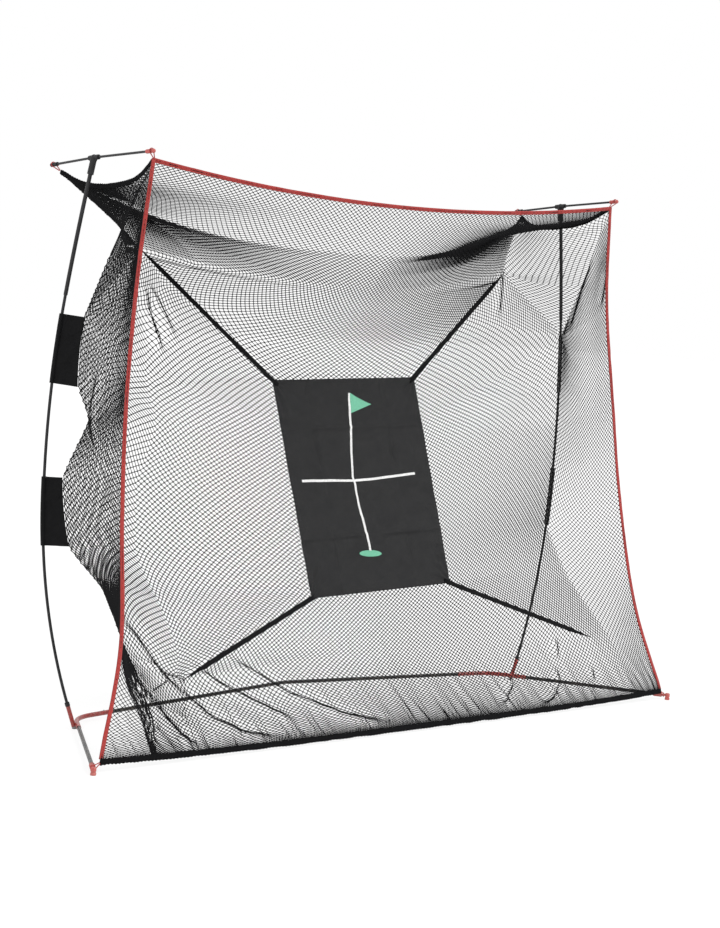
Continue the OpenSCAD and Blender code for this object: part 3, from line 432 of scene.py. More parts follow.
class HungNet:
    """The whole net as one sheet of meshes: w across from one side hem to the other, with the back from -1
    to 1, and r from the top hem at 0 down to the bottom hem at 1."""

    def __init__(self):
        self.across = {side: EvenRows(lambda rows, u, half=half: half_panel(u, rows, half),
                                      columns=81, samples=241) for side, half in HALVES.items()}
        self.back = EvenRows(self.panel, -1.0)
        self.sides = {side: EvenRows(lambda a, t, half=half: side_net(a, t, half))
                      for side, half in HALVES.items()}
        down = (ROOF_ROWS, mixed(ROOF_ROWS, 1, 0.1), mixed(ROOF_ROWS, 1, 0.2))
        self.turns = np.interp(down, self.back.rows, self.back.share[-1])
        self.corner = self.turns[0]

    def panel(self, u, rows):
        """The roof and the back from the left edge at -1 to the right edge at 1."""
        p = np.zeros((len(u), 3))
        for side, sign in SIDES.items():
            here = (u > 0) == (sign > 0)
            m = np.abs(u[here])
            crowd = HALVES[side]["crowd"] * np.clip((rows[here] - 0.55) / 0.2, 0, 1)
            p[here] = self.across[side](rows[here], m + crowd * m * m * (1 - m))[0] * (sign, 1, 1)
        return p

    def seam(self, w, r):
        """Where the back ends and the side begins. Low down the back is spread wider."""
        notch = np.interp(r, self.turns, (1, NOTCH_SHARE, 1))
        left, right = (np.interp(r, SPREAD_ROWS, HALVES[side]["spread"]) for side in SIDES)
        return notch * np.where(w > 0, right, left)

    def __call__(self, w, r):
        seam = self.seam(w, r)
        points, rows = self.back(np.clip(w / seam, -1, 1), r)
        for side, sign in SIDES.items():
            far = sign * w
            here = (far > seam) & ((r > self.corner) | (far > 1.02))
            a = 1 - (far[here] - seam[here]) / (1 + SIDE_SHARE - seam[here])
            share = np.clip((r[here] - self.corner) / (1 - self.corner), 0, 1)
            points[here] = self.sides[side](a, share)[0] * (sign, 1, 1)
        return points, rows


def packed(down):
    """Row of the net for a share of its length. The meshes are drawn together above the bottom hem."""
    low = np.clip(down - PACKED_FROM, 0, None)
    return (down - PACKED * low ** 2) / (1 - PACKED * (1 - PACKED_FROM) ** 2)


def folded(points, w, r):
    """Adds the folds and the small pleats of the gathered edges to the hung net."""
    free = np.clip(np.minimum((1 + SIDE_SHARE - np.abs(w)) / 0.04, np.minimum(r, 1 - r) / 0.02), 0, 1)
    points = creased(points, MAIN_FOLDS, np.array((0.0, -1.0, 0.0)), free)
    for side, sign in SIDES.items():
        points = creased(points, SIDE_FOLDS[side], np.array((0.5 * sign, 0.0, 0.0)), free)
        bunched = free * HALVES[side]["gather"] * np.clip((r - 0.84) / 0.06, 0, 1) \
            * np.exp(-((sign * w - 1.21) / 0.10) ** 2)
        points[:, 0] += 0.008 * bunched * value_noise(w * 50, r * 150, 51)
        points[:, 1] += 0.007 * bunched * value_noise(w * 50, r * 150, 52)
    x, y, z = points.T
    near = free * np.exp(-np.maximum(z - 0.03, 0) / 0.09) * np.clip((z - 0.02) / 0.02, 0, 1)
    shift = value_noise(x * 30 + z * 12, z * 6, 61) + 0.6 * value_noise(x * 75 + z * 30, z * 12, 62)
    proud = value_noise(x * 24, z * 9, 63)
    return points + np.stack([0.018 * near * shift, -0.014 * near * np.abs(proud), np.zeros_like(near)], -1)


def value_noise(x, y, seed=0):
    """Smooth noise from -1 to 1 with features one unit across."""
    table = np.random.default_rng(seed).random((64, 64)) * 2 - 1
    i, j = np.floor(x).astype(int), np.floor(y).astype(int)
    f, g = x - i, y - j
    f, g = f * f * (3 - 2 * f), g * g * (3 - 2 * g)
    a, b = table[i % 64, j % 64], table[(i + 1) % 64, j % 64]
    c, d = table[i % 64, (j + 1) % 64], table[(i + 1) % 64, (j + 1) % 64]
    return mixed(mixed(a, b, f), mixed(c, d, f), g)


# ---- meshes ----

def finished(name, bm, material, smooth=True):
    """Makes an object of a bmesh, at the origin, with its material."""
    mesh = bpy.data.meshes.new(name)
    bm.to_mesh(mesh)
    bm.free()
    if smooth:
        mesh.polygons.foreach_set("use_smooth", np.ones(len(mesh.polygons), bool))
    mesh.materials.append(material)
    made = bpy.data.objects.new(name, mesh)
    bpy.context.scene.collection.objects.link(made)
    return made


def coordinates(bm):
    return np.array([v.co for v in bm.verts], float).reshape(-1, 3)


def put(bm, points):
    for v, p in zip(bm.verts, points):
        v.co = p


def verts_of(made):
    return [v for v in made if isinstance(v, bmesh.types.BMVert)]


def grid(columns, rows, size=(1.0, 1.0)):
    """Flat grid over the unit square, with a UV map in metres."""
    bm = bmesh.new()
    layer = bm.loops.layers.uv.new("UVMap")
    bmesh.ops.create_grid(bm, x_segments=columns, y_segments=rows, size=0.5, calc_uvs=True)
    bmesh.ops.translate(bm, vec=(0.5, 0.5, 0), verts=bm.verts)
    for face in bm.faces:
        for corner in face.loops:
            corner[layer].uv = (corner.vert.co.x * size[0], corner.vert.co.y * size[1])
    return bm


def closed_tube(bm):
    """Joins a grid's two long edges into a tube and closes its ends."""
    bmesh.ops.remove_doubles(bm, verts=bm.verts, dist=1e-6)
    rims = [e for e in bm.edges if e.is_boundary]
    if rims:
        bmesh.ops.holes_fill(bm, edges=rims, sides=0)
    bmesh.ops.recalc_face_normals(bm, faces=bm.faces)
    return bm


def rails(points, spread):
    """Points along a line with the direction across it that is nearest to spread, and the normal."""
    tangent = unit(np.gradient(points, axis=0))
    spread = np.broadcast_to(np.asarray(spread, float), points.shape)
    across = unit(spread - (spread * tangent).sum(1, keepdims=True) * tangent)
    return points, across, np.cross(tangent, across)


def even(points_of, count, low=0.0, high=1.0):
    """count + 1 points spaced evenly along a curve."""
    t = np.linspace(low, high, 400)
    p = points_of(t)
    run = np.concatenate([[0], np.cumsum(np.linalg.norm(np.diff(p, axis=0), axis=1))])
    return points_of(np.interp(np.linspace(0, run[-1], count + 1), run, t)), run[-1]


def thicken(bm, thickness):
    """Gives a sheet its thickness."""
    bmesh.ops.solidify(bm, geom=bm.faces[:], thickness=thickness)
    bmesh.ops.recalc_face_normals(bm, faces=bm.faces)
    return bm


def band(bm, rail, width, thickness, lift=None):
    """Bends a grid along a rail into a flat band, and gives it its thickness."""
    p, across, normal = rail
    flat = coordinates(bm)
    row = np.rint(flat[:, 1] * (len(p) - 1)).astype(int)
    a = (flat[:, 0] - 0.5)[:, None]
    place = p[row] + a * width * across[row]
    if lift is not None:
        place = place + lift(flat[:, 0], row)[:, None] * normal[row]
    put(bm, place - thickness / 2 * normal[row])
    bmesh.ops.recalc_face_normals(bm, faces=bm.faces)
    wrong = sum(f.normal.dot(Vector(normal[len(p) // 2])) for f in bm.faces) < 0
    if wrong:
        bmesh.ops.reverse_faces(bm, faces=bm.faces)
    return thicken(bm, -thickness)


def tube(bm, rail, half_width, half_depth, bulge=None):
    """Bends a grid along a rail into a tube of elliptical section. bulge scales it by angle and row."""
    p, across, normal = rail
    flat = coordinates(bm)
    row = np.rint(flat[:, 1] * (len(p) - 1)).astype(int)
    angle = flat[:, 0] * 2 * math.pi
    scale = np.ones(len(flat)) if bulge is None else bulge(angle, row)
    offset = (np.cos(angle) * half_width * scale)[:, None] * across[row] \
        + (np.sin(angle) * half_depth * scale)[:, None] * normal[row]
    put(bm, p[row] + offset)
    return closed_tube(bm)


def mirrored(points, side):
    return np.asarray(points) * np.array((side, 1, 1))


def join_meshes(parts):
    """Puts several bmeshes into the first one."""
    first = parts[0]
    for other in parts[1:]:
        mesh = bpy.data.meshes.new("part")
        other.to_mesh(mesh)
        other.free()
        first.from_mesh(mesh)
        bpy.data.meshes.remove(mesh)
    return first


def diamonds(across, along):
    """Diamond meshes that cover the unit square, so many across and along, cut straight at its edges."""
    count = across + along + 2
    bm = bmesh.new()
    bmesh.ops.create_grid(bm, x_segments=count, y_segments=count, size=count / 2)
    turn = Matrix(((0.5 / across, 0.5 / across, 0, 0.5), (0.5 / along, -0.5 / along, 0, 0.5),
                   (0, 0, 1, 0), (0, 0, 0, 1)))
    bmesh.ops.transform(bm, matrix=turn, verts=bm.verts)
    for place, facing in (((0, 0, 0), (-1, 0, 0)), ((1, 0, 0), (1, 0, 0)),
                          ((0, 0, 0), (0, -1, 0)), ((0, 1, 0), (0, 1, 0))):
        bmesh.ops.bisect_plane(bm, geom=bm.verts[:] + bm.edges[:] + bm.faces[:], dist=1e-6,
                               plane_co=place, plane_no=facing, clear_outer=True)
    return bm


def knots(places, normals, radius):
    """One small knot at each place, as wide as radius to each side and flatter through the net."""
    bm = bmesh.new()
    bmesh.ops.create_uvsphere(bm, u_segments=4, v_segments=2, radius=1)
    made, apart = 1, 4.0        # knots so far, and how far apart their copies lie
    while made < len(places):   # a row of copies, each at its own number
        copies = bmesh.ops.duplicate(bm, geom=bm.verts[:] + bm.edges[:] + bm.faces[:])["geom"]
        bmesh.ops.translate(bm, vec=(made * apart, 0, 0), verts=verts_of(copies))
        made *= 2
    bmesh.ops.delete(bm, geom=[v for v in bm.verts if v.co.x > (len(places) - 0.5) * apart], context="VERTS")
    flat = coordinates(bm)
    owner = np.rint(flat[:, 0] / apart).astype(int)
    flat[:, 0] -= owner * apart
    flat *= radius
    across = unit(np.cross(normals, (0.0, 0.0, 1.0)) + (1e-6, 0, 0))
    up = np.cross(across, normals)
    put(bm, places[owner] + flat[:, :1] * across[owner] + 0.85 * flat[:, 1:2] * up[owner]
        + 0.7 * flat[:, 2:] * normals[owner])
    return bm


def twine_piece(name, whole, zone, gauge, material):
    """The part of a lattice with that zone number, its edges made into twine and its crossings knotted.
    gauge is the widths of the twine and of a knot."""
    part = whole.copy()
    zones, owners = part.faces.layers.int["zone"], part.verts.layers.int["owner"]
    bmesh.ops.delete(part, geom=[f for f in part.faces if f[zones] != zone], context="FACES")
    bmesh.ops.recalc_face_normals(part, faces=part.faces)
    part.normal_update()
    tied = [v for v in part.verts if v[owners] == zone]
    places, normals = np.array([v.co for v in tied]), np.array([v.normal for v in tied])
    bmesh.ops.wireframe(part, faces=part.faces[:], thickness=gauge[0], offset=0, use_replace=True,
                        use_boundary=True, use_even_offset=False)
    return finished(name, join_meshes([part, knots(places, normals, gauge[1] / 2)]), material,
                    smooth=False)


def mark_zones(whole, zone_of):
    """Numbers the faces by the piece that they go to. Each crossing belongs to one piece."""
    zones, owners = whole.faces.layers.int.new("zone"), whole.verts.layers.int.new("owner")
    whole.verts.index_update()
    for face in whole.faces:
        face[zones] = zone_of([v.index for v in face.verts])
    for v in whole.verts:
        v[owners] = min(f[zones] for f in v.link_faces) if len(v.link_faces) > 2 else -1


# ---- materials ----

def node(tree, kind, values=None, **settings):
    made = tree.nodes.new(kind)
    for name, value in settings.items():
        setattr(made, name, value)
    for name, value in (values or {}).items():
        made.inputs[name].default_value = value
    return made


def wire(tree, *links):
    """Joins sockets. A link is a node, its output's name or number, a node and its input's name or number."""
    for source, output, target, entry in links:
        tree.links.new(source.outputs[output], target.inputs[entry])


def effect(name, inputs, outputs):
    """A shader node group with named sockets. Returns its tree, its input node and its output node."""
    tree = bpy.data.node_groups.new(name, "ShaderNodeTree")
    for label, kind, value in inputs:
        socket = tree.interface.new_socket(label, in_out="INPUT", socket_type=kind)
        if value is not None:
            socket.default_value = value
    for label, kind in outputs:
        tree.interface.new_socket(label, in_out="OUTPUT", socket_type=kind)
    return tree, tree.nodes.new("NodeGroupInput"), tree.nodes.new("NodeGroupOutput")


def mottle_effect():
    """Two shades mixed by soft noise."""
    tree, given, out = effect("Mottle", [
        ("Vector", "NodeSocketVector", None), ("Scale", "NodeSocketFloat", 40.0),
        ("Shade", "NodeSocketColor", (0.1, 0.1, 0.1, 1)),
        ("Other shade", "NodeSocketColor", (0.2, 0.2, 0.2, 1))],
        [("Colour", "NodeSocketColor"), ("Mask", "NodeSocketFloat")])
    cloud = node(tree, "ShaderNodeTexNoise", {"Detail": 4.0, "Roughness": 0.6})
    steep = node(tree, "ShaderNodeMapRange", {"From Min": 0.35, "From Max": 0.65})
    mix = node(tree, "ShaderNodeMix", data_type="RGBA")
    wire(tree, (given, "Vector", cloud, "Vector"), (given, "Scale", cloud, "Scale"),
         (cloud, "Fac", steep, "Value"), (steep, "Result", mix, "Factor"), (given, "Shade", mix, "A"),
         (given, "Other shade", mix, "B"), (mix, "Result", out, "Colour"),
         (steep, "Result", out, "Mask"))
    return tree


def weave_effect():
    """Plain weave on a UV map in metres: a height for the threads, and a mask for the gaps between them."""
    tree, given, out = effect("Weave", [
        ("Vector", "NodeSocketVector", None), ("Threads across", "NodeSocketFloat", 800.0),
        ("Threads along", "NodeSocketFloat", 800.0)],
        [("Height", "NodeSocketFloat"), ("Gap", "NodeSocketFloat")])
    split = node(tree, "ShaderNodeSeparateXYZ")
    wire(tree, (given, "Vector", split, "Vector"))
    waves = []
    for axis, label in (("X", "Threads across"), ("Y", "Threads along")):
        turn = node(tree, "ShaderNodeMath", operation="MULTIPLY")
        half = node(tree, "ShaderNodeMath", {1: math.pi}, operation="MULTIPLY")
        sine = node(tree, "ShaderNodeMath", operation="SINE")
        wire(tree, (split, axis, turn, 0), (given, label, turn, 1), (turn, 0, half, 0), (half, 0, sine, 0))
        waves.append(sine)
    product = node(tree, "ShaderNodeMath", operation="MULTIPLY")
    wire(tree, (waves[0], 0, product, 0), (waves[1], 0, product, 1))
    size = node(tree, "ShaderNodeMath", operation="ABSOLUTE")
    wire(tree, (product, 0, size, 0))
    gap = node(tree, "ShaderNodeMapRange", {"From Min": 0.25, "From Max": 0.0})
    wire(tree, (size, 0, gap, "Value"), (product, 0, out, "Height"), (gap, "Result", out, "Gap"))
    return tree


def grain_effect():
    """Fine height of a moulded or powder-coated skin."""
    tree, given, out = effect("Grain", [
        ("Vector", "NodeSocketVector", None), ("Scale", "NodeSocketFloat", 900.0)],
        [("Height", "NodeSocketFloat")])
    cells = node(tree, "ShaderNodeTexVoronoi", feature="SMOOTH_F1")
    wire(tree, (given, "Vector", cells, "Vector"), (given, "Scale", cells, "Scale"),
         (cells, "Distance", out, "Height"))
    return tree


def dust_effect():
    """Dry dust that settles low on the object and in patches."""
    tree, given, out = effect("Ground_dust", [
        ("Vector", "NodeSocketVector", None), ("Colour", "NodeSocketColor", (0.1, 0.1, 0.1, 1)),
        ("Dust", "NodeSocketColor", (0.32, 0.28, 0.23, 1)), ("Reach", "NodeSocketFloat", 0.25),
        ("Amount", "NodeSocketFloat", 0.25)],
        [("Colour", "NodeSocketColor"), ("Mask", "NodeSocketFloat")])
    split = node(tree, "ShaderNodeSeparateXYZ")
    low = node(tree, "ShaderNodeMapRange", {"From Max": 0.0})
    cloud = node(tree, "ShaderNodeTexNoise", {"Scale": 60.0, "Detail": 5.0})
    patch = node(tree, "ShaderNodeMapRange", {"From Min": 0.4, "From Max": 0.75})
    both = node(tree, "ShaderNodeMath", operation="MULTIPLY")
    share = node(tree, "ShaderNodeMath", operation="MULTIPLY")
    mix = node(tree, "ShaderNodeMix", data_type="RGBA")
    wire(tree, (given, "Vector", split, "Vector"), (split, "Z", low, "Value"),
         (given, "Reach", low, "From Min"), (given, "Vector", cloud, "Vector"),
         (cloud, "Fac", patch, "Value"), (low, "Result", both, 0), (patch, "Result", both, 1),
         (both, 0, share, 0), (given, "Amount", share, 1), (share, 0, mix, "Factor"),
         (given, "Colour", mix, "A"), (given, "Dust", mix, "B"), (mix, "Result", out, "Colour"),
         (share, 0, out, "Mask"))
    return tree


EFFECTS = {}
WEBBING_WEAVE = (900.0, 500.0, 0.0004)
SHEET_WEAVE = (1000.0, 1000.0, 0.0003)
PRINT_WEAVE = (1000.0, 1000.0, 0.0002)
WEBBING_BLACK = (0.005, 0.005, 0.0055)


def effects():
    if not EFFECTS:
        EFFECTS.update(mottle=mottle_effect(), weave=weave_effect(), grain=grain_effect(), dust=dust_effect())
    return EFFECTS


def use(tree, name, values):
    """Places an effect in a material with its own values."""
    made = tree.nodes.new("ShaderNodeGroup")
    made.node_tree = effects()[name]
    for label, value in values.items():
        made.inputs[label].default_value = value
    return made


def seen_as(tree, lighting, shown, output, amount=None):
    """Gives an output one shader to light with and another to be seen, the other in the amount given."""
    path = tree.nodes.new("ShaderNodeLightPath")
    seen = node(tree, "ShaderNodeMath", operation="MAXIMUM")
    share = node(tree, "ShaderNodeMath", operation="MAXIMUM")
    mix = tree.nodes.new("ShaderNodeMixShader")
    wire(tree, (path, "Is Camera Ray", seen, 0), (path, "Is Glossy Ray", seen, 1), (seen, 0, share, 0),
         (path, "Is Transmission Ray", share, 1), (lighting, 0, mix, 1), (shown, 0, mix, 2),
         (mix, "Shader", tree.nodes[output], "Surface"))
    if amount is not None:
        whole, share = share, node(tree, "ShaderNodeMath", {1: amount}, operation="MULTIPLY")
        wire(tree, (whole, 0, share, 0))
    wire(tree, (share, 0, mix, "Fac"))


def rgba(colour, scale=1.0):
    return (*[min(c * scale, 1.0) for c in colour[:3]], 1.0)


def finish_of(name, colour, roughness, spread=1.5, patch=40.0, grain=0.0, grain_scale=900.0, weave=None,
              dust=0.0, rough_spread=0.08, **sockets):
    """A material of mottled colour with its grain, weave or dust. spread is the other shade's brightness.
    weave is the threads per metre across and along, and their height."""
    found = bpy.data.materials.get(name)
    if found:
        return found
    material = bpy.data.materials.new(name)
    material.use_nodes = True
    tree = material.node_tree
    link = tree.links.new
    shader = tree.nodes["Principled BSDF"]
    for label, value in sockets.items():
        shader.inputs[label].default_value = value
    place = tree.nodes.new("ShaderNodeTexCoord")
    mottle = use(tree, "mottle", {"Scale": patch, "Shade": rgba(colour), "Other shade": rgba(colour, spread)})
    link(place.outputs["Object"], mottle.inputs["Vector"])
    shade = mottle.outputs["Colour"]
    if dust:
        low = use(tree, "dust", {"Amount": dust})
        link(place.outputs["Object"], low.inputs["Vector"])
        link(shade, low.inputs["Colour"])
        shade = low.outputs["Colour"]
    heights = []
    if weave:
        threads = use(tree, "weave", {"Threads across": weave[0], "Threads along": weave[1]})
        link(place.outputs["UV"], threads.inputs["Vector"])
        darker = node(tree, "ShaderNodeMix", {"B": rgba(colour, 0.35)}, data_type="RGBA")
        soften = node(tree, "ShaderNodeMath", {1: 0.6}, operation="MULTIPLY")
        link(threads.outputs["Gap"], soften.inputs[0])
        link(soften.outputs[0], darker.inputs["Factor"])
        link(shade, darker.inputs["A"])
        shade = darker.outputs["Result"]
        heights.append((threads.outputs["Height"], weave[2]))
    if grain:
        skin = use(tree, "grain", {"Scale": grain_scale})
        link(place.outputs["Object"], skin.inputs["Vector"])
        heights.append((skin.outputs["Height"], grain))
    link(shade, shader.inputs["Base Color"])
    rough = node(tree, "ShaderNodeMapRange",
                 {"To Min": roughness - rough_spread, "To Max": roughness + rough_spread})
    link(mottle.outputs["Mask"], rough.inputs["Value"])
    link(rough.outputs["Result"], shader.inputs["Roughness"])
    normal = None
    for height, distance in heights:
        bump = node(tree, "ShaderNodeBump", {"Distance": distance, "Strength": 0.8})
        link(height, bump.inputs["Height"])
        if normal:
            link(normal, bump.inputs["Normal"])
        normal = bump.outputs["Normal"]
    if normal:
        link(normal, shader.inputs["Normal"])
    return material


def steel():
    return finish_of("drawn_steel", (0.50, 0.51, 0.52), 0.32, spread=0.8, patch=60, grain=0.0001,
                     Metallic=1.0)


def give(material, *nodes):
    """Puts a material on nodes of the frame."""
    for name in nodes:
        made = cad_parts[name]
        made.data.materials.clear()
        made.data.materials.append(material)


def both(*names):
    return [f"{name}_{side}" for name in names for side in SIDES]


# ---- operators ----

class NET_OT_finish_frame(bpy.types.Operator):
    """Give the tubes, poles, hubs and caps their finishes"""
    bl_idname = "practice_net.finish_frame"
    bl_label = "Frame finishes"

    def execute(self, context):
        tone = context.scene.net_colours
        red, black = tone.red, tone.black
        give(finish_of("red_powder_coat", red, 0.38, spread=0.82, patch=30, grain=0.00025, dust=0.35,
                       **{"Coat Weight": 0.25, "Coat Roughness": 0.25}),
             *both("corner_tube", "pole_socket"))
        give(finish_of("black_powder_coat", black, 0.34, spread=2.0, patch=24, grain=0.0002, dust=0.35,
                       **{"Specular IOR Level": 0.3, "Coat Weight": 0.08, "Coat Roughness": 0.3}),
             *both("rear_tube", "foot_tube"), "rear_centre_bend")
        give(finish_of("black_resin_pole", black, 0.30, spread=1.8, patch=18, grain=0.0001, grain_scale=400,
                       **{"Specular IOR Level": 0.3, "Coat Weight": 0.10, "Coat Roughness": 0.2}),
             *both("pole_lower", "pole_middle", "pole_upper", "bar_front_rod", "bar_rear_rod"))
        give(finish_of("faded_red_moulding", (0.43, 0.085, 0.075), 0.55, spread=1.25, patch=90, grain=0.0003,
                       dust=0.3), *both("foot_cap", "bar_front_cap"))
        give(finish_of("black_moulding", (0.011, 0.011, 0.012), 0.50, spread=1.9, patch=70, grain=0.0003,
                       **{"Specular IOR Level": 0.3}),
             *both("bar_rear_cap", "top_hub"), "pole_collars")
        give(steel(), *both("snap_button"), "pole_ferrules")
        give(finish_of("grey_moulding", (0.20, 0.20, 0.205), 0.58, spread=1.3, patch=80, grain=0.0003,
                       dust=0.4), *both("socket_plug"))
        return {"FINISHED"}


class NET_OT_add_snap_springs(bpy.types.Operator):
    """Fold the leaf springs inside the rear tubes, whose upper arm gives way with the button"""
    bl_idname = "practice_net.add_snap_springs"
    bl_label = "Snap springs"

    leaf = 0.0006       # thickness of the leaf
    width = 0.004
    arm, fold = -0.006, 0.020       # the arms' ends and the fold, along the tube from the button's middle
    turn = math.radians(-5.85)      # of the rear tube's end, seen from above

    def execute(self, context):
        for side, sign in SIDES.items():
            button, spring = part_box(f"snap_button_{side}"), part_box(f"snap_spring_{side}")
            floor, top = spring[0][2], spring[1][2]
            place = Vector(((button[0][0] + button[1][0]) / 2, (button[0][1] + button[1][1]) / 2, 0))
            bm = self.leaf_spring(floor, top)
            moved = Matrix.Translation(Vector((abs(place.x), place.y, 0)))
            bmesh.ops.transform(bm, matrix=moved @ Matrix.Rotation(self.turn, 4, "Z"), verts=bm.verts)
            bmesh.ops.scale(bm, vec=(sign, 1, 1), verts=bm.verts)
            bmesh.ops.recalc_face_normals(bm, faces=bm.faces)
            made = finished(f"snap_spring_leaf_{side}", bm, steel(), smooth=False)
            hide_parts(f"snap_spring_{side}")
            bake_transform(made)
        return {"FINISHED"}

    def leaf_spring(self, floor, top):
        """A U of flat steel on its side: outline of its edge, pulled across by its width."""
        radius = (top - floor) / 2
        angles = [math.pi * k / 16 - math.pi / 2 for k in range(17)]
        outer, inner = ([(self.fold - radius + r * math.cos(a), floor + radius + r * math.sin(a))
                         for a in angles] for r in (radius, radius - self.leaf))
        outline = ([(self.arm, floor)] + outer + [(self.arm, top), (self.arm, top - self.leaf)]
                   + inner[::-1] + [(self.arm, floor + self.leaf)])
        bm = bmesh.new()
        face = bm.faces.new([bm.verts.new((x, -self.width / 2, z)) for x, z in outline])
        pulled = bmesh.ops.extrude_face_region(bm, geom=[face])["geom"]
        bmesh.ops.translate(bm, vec=(0, self.width, 0), verts=verts_of(pulled))
        bmesh.ops.triangulate(bm, faces=[f for f in bm.faces if len(f.verts) > 4])
        return bm


class NET_OT_add_netting(bpy.types.Operator):
    """Hang the netting: roof, back and sides, knotted in diamonds"""
    bl_idname = "practice_net.add_netting"
    bl_label = "Netting"

    def execute(self, context):
        size = context.scene.net_sizes
        twine = finish_of("netting_twine", context.scene.net_colours.twine, 0.62, spread=2.0, patch=260,
                          rough_spread=0.12, **{"Specular IOR Level": 0.08})
        net = HungNet()
        whole = diamonds(round(2 * HALF_WIDTH * (1 + SIDE_SHARE) / size.mesh_width),
                         round(NET_LENGTH / size.mesh_height))
        flat = coordinates(whole)
        w, r = (flat[:, 0] * 2 - 1) * (1 + SIDE_SHARE), packed(flat[:, 1])
        seam = net.seam(w, r)
        points, rows = net(w, r)

        def zone_of(at):
            across, down = float(np.mean(w[at])), float(np.mean(r[at]))
            half = 1 if across > 0 else 0
            if abs(across) > float(np.mean(seam[at])):
                return SIDE_ZONE + half if down > net.corner else -1
            return 2 * sum(float(np.mean(rows[at])) >= end for end in ZONE_ROWS) + half

        mark_zones(whole, zone_of)
        put(whole, folded(points, w, r))
        back, side_panel = (size.strand, size.knot), (size.side_strand, size.side_knot)
        # Each panel's name, the node that it stands for, its cut's width and length, its twine, its cover, and
        # whether it goes to bend instead of being attached to the frame
        panels = (("net_roof", "net_roof", (1.25, 0.48), side_panel, 0.5, True),
                  ("net_back_high", "net_back", (1.28, 0.80), back, 0.7, True),
                  ("net_back_low", "net_back", (1.28, 0.80), back, 0.7, False),
                  ("net_lower", "net_lower", (1.32, 0.80), back, 0.7, False),
                  ("net_side", "net_side", (0.56, 2.30), side_panel, 0.6, True))
        for step, (label, cad, flat_size, gauge, cover, moves) in enumerate(panels):
            for half, side in enumerate(SIDES):
                piece = twine_piece(f"{label}_{side}_twine", whole, 2 * step + half, gauge, twine)
                self.hang(piece, f"{cad}_{side}", side, flat_size, cover, moves)
        whole.free()
        return {"FINISHED"}

    def hang(self, piece, cad, side, flat_size, cover, moves):
        """cover, the drawn twine's area as a share of the cut's rectangle, is not used."""
        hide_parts(cad)
        if moves:
            bend(piece, side)
        else:
            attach(piece, "frame")


def bend(piece, side):
    """Bakes the piece's placement into its mesh. Its upper corner does not follow the top bar: the blend's two
    points for its side are worked out and left unused.
    """
    sign = SIDES[side]
    tuple(mirrored(BLEND_START, sign))
    tuple(mirrored(BLEND_END, sign))
    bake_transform(piece)


class NET_OT_add_webbing(bpy.types.Operator):
    """Sew the red webbing round the mouth of the net"""
    bl_idname = "practice_net.add_webbing"
    bl_label = "Webbing hems"

    def execute(self, context):
        size = context.scene.webbing_sizes
        red = context.scene.net_colours.red
        webbing = finish_of("red_hem_webbing", tuple(red), 0.72, spread=1.2, patch=50, weave=WEBBING_WEAVE,
                            **{"Sheen Weight": 0.1})
        top, drop = FRONT_EDGE[0], FRONT_EDGE[0][2] - MIDDLE_LINE[0][2]

        def top_line(u):
            return np.stack([u * top[0], np.full(len(u), top[1]), top[2] - drop * (1 - u * u)], -1)

        for side, sign in SIDES.items():
            line, run = even(top_line, 150, 0.0, 1.004)
            rail = rails(mirrored(line, sign), (0, -0.3, 1))
            bm = band(grid(4, 150, (size.hem_width, run)), rail, size.hem_width, size.hem_thickness,
                      lambda a, row: 0.0007 * value_noise(row / 6.0, a * 2, 3))
            piece = finished(f"hem_top_{side}", bm, webbing)
            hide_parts("hem_top")
            bend(piece, side)
            line, run = even(lambda t: spline(FRONT_EDGE, t), 260, 0.0, 0.996)
            line[0, 2] += 0.006
            rail = rails(mirrored(line, sign), (1, 0, 0))
            bm = band(grid(4, 260, (size.hem_width, run)), rail, size.hem_width, size.hem_thickness,
                      lambda a, row: 0.0009 * value_noise(row / 5.0, a * 2, 4))
            piece = finished(f"hem_side_{side}", bm, webbing)
            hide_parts(f"hem_{side}")
            bend(piece, side)
        return {"FINISHED"}


class NET_OT_add_gathered_hems(bpy.types.Operator):
    """Gather the netting into the black hems at the bottom and on the roof's sides"""
    bl_idname = "practice_net.add_gathered_hems"
    bl_label = "Gathered hems"

    def execute(self, context):
        height = context.scene.webbing_sizes.gathered_height
        cloth = finish_of("black_gathered_webbing", WEBBING_BLACK, 0.8, spread=1.8, patch=180,
                          weave=WEBBING_WEAVE, **{"Specular IOR Level": 0.06})
        low, corner = MIDDLE_LINE[-1][2], FRONT_EDGE[-1]

        def bottom_line(u):
            return np.stack([u * corner[0], np.full(len(u), corner[1]),
                             low + (corner[2] - low) * np.abs(u) ** 3], -1)

        def lumps(angle, row):
            return 0.80 + 0.16 * value_noise(row / 9.0, np.cos(angle) * 1.5, 7) \
                + 0.10 * np.sin(row * 1.7 + 2 * np.sin(angle))

        line, run = even(bottom_line, 700, -1.0, 1.0)
        rail = rails(line, (0, 0, -1))
        bm = tube(grid(12, 700, (0.06, run)), rail, height / 2, 0.0055, lumps)
        piece = finished("hem_bottom_gathered", bm, cloth)
        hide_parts("hem_bottom")
        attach(piece, "frame")
        for side, sign in SIDES.items():
            line, run = even(lambda t: spline(ROOF_EDGE, t), 170, 0.02, 0.99)
            rail = rails(mirrored(line, sign), (0, 0, 1))
            bm = tube(grid(12, 170, (0.05, run)), rail, height * 0.40, 0.0045, lumps)
            piece = finished(f"roof_seam_{side}_gathered", bm, cloth)
            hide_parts(f"roof_seam_{side}")
            bend(piece, side)
        return {"FINISHED"}


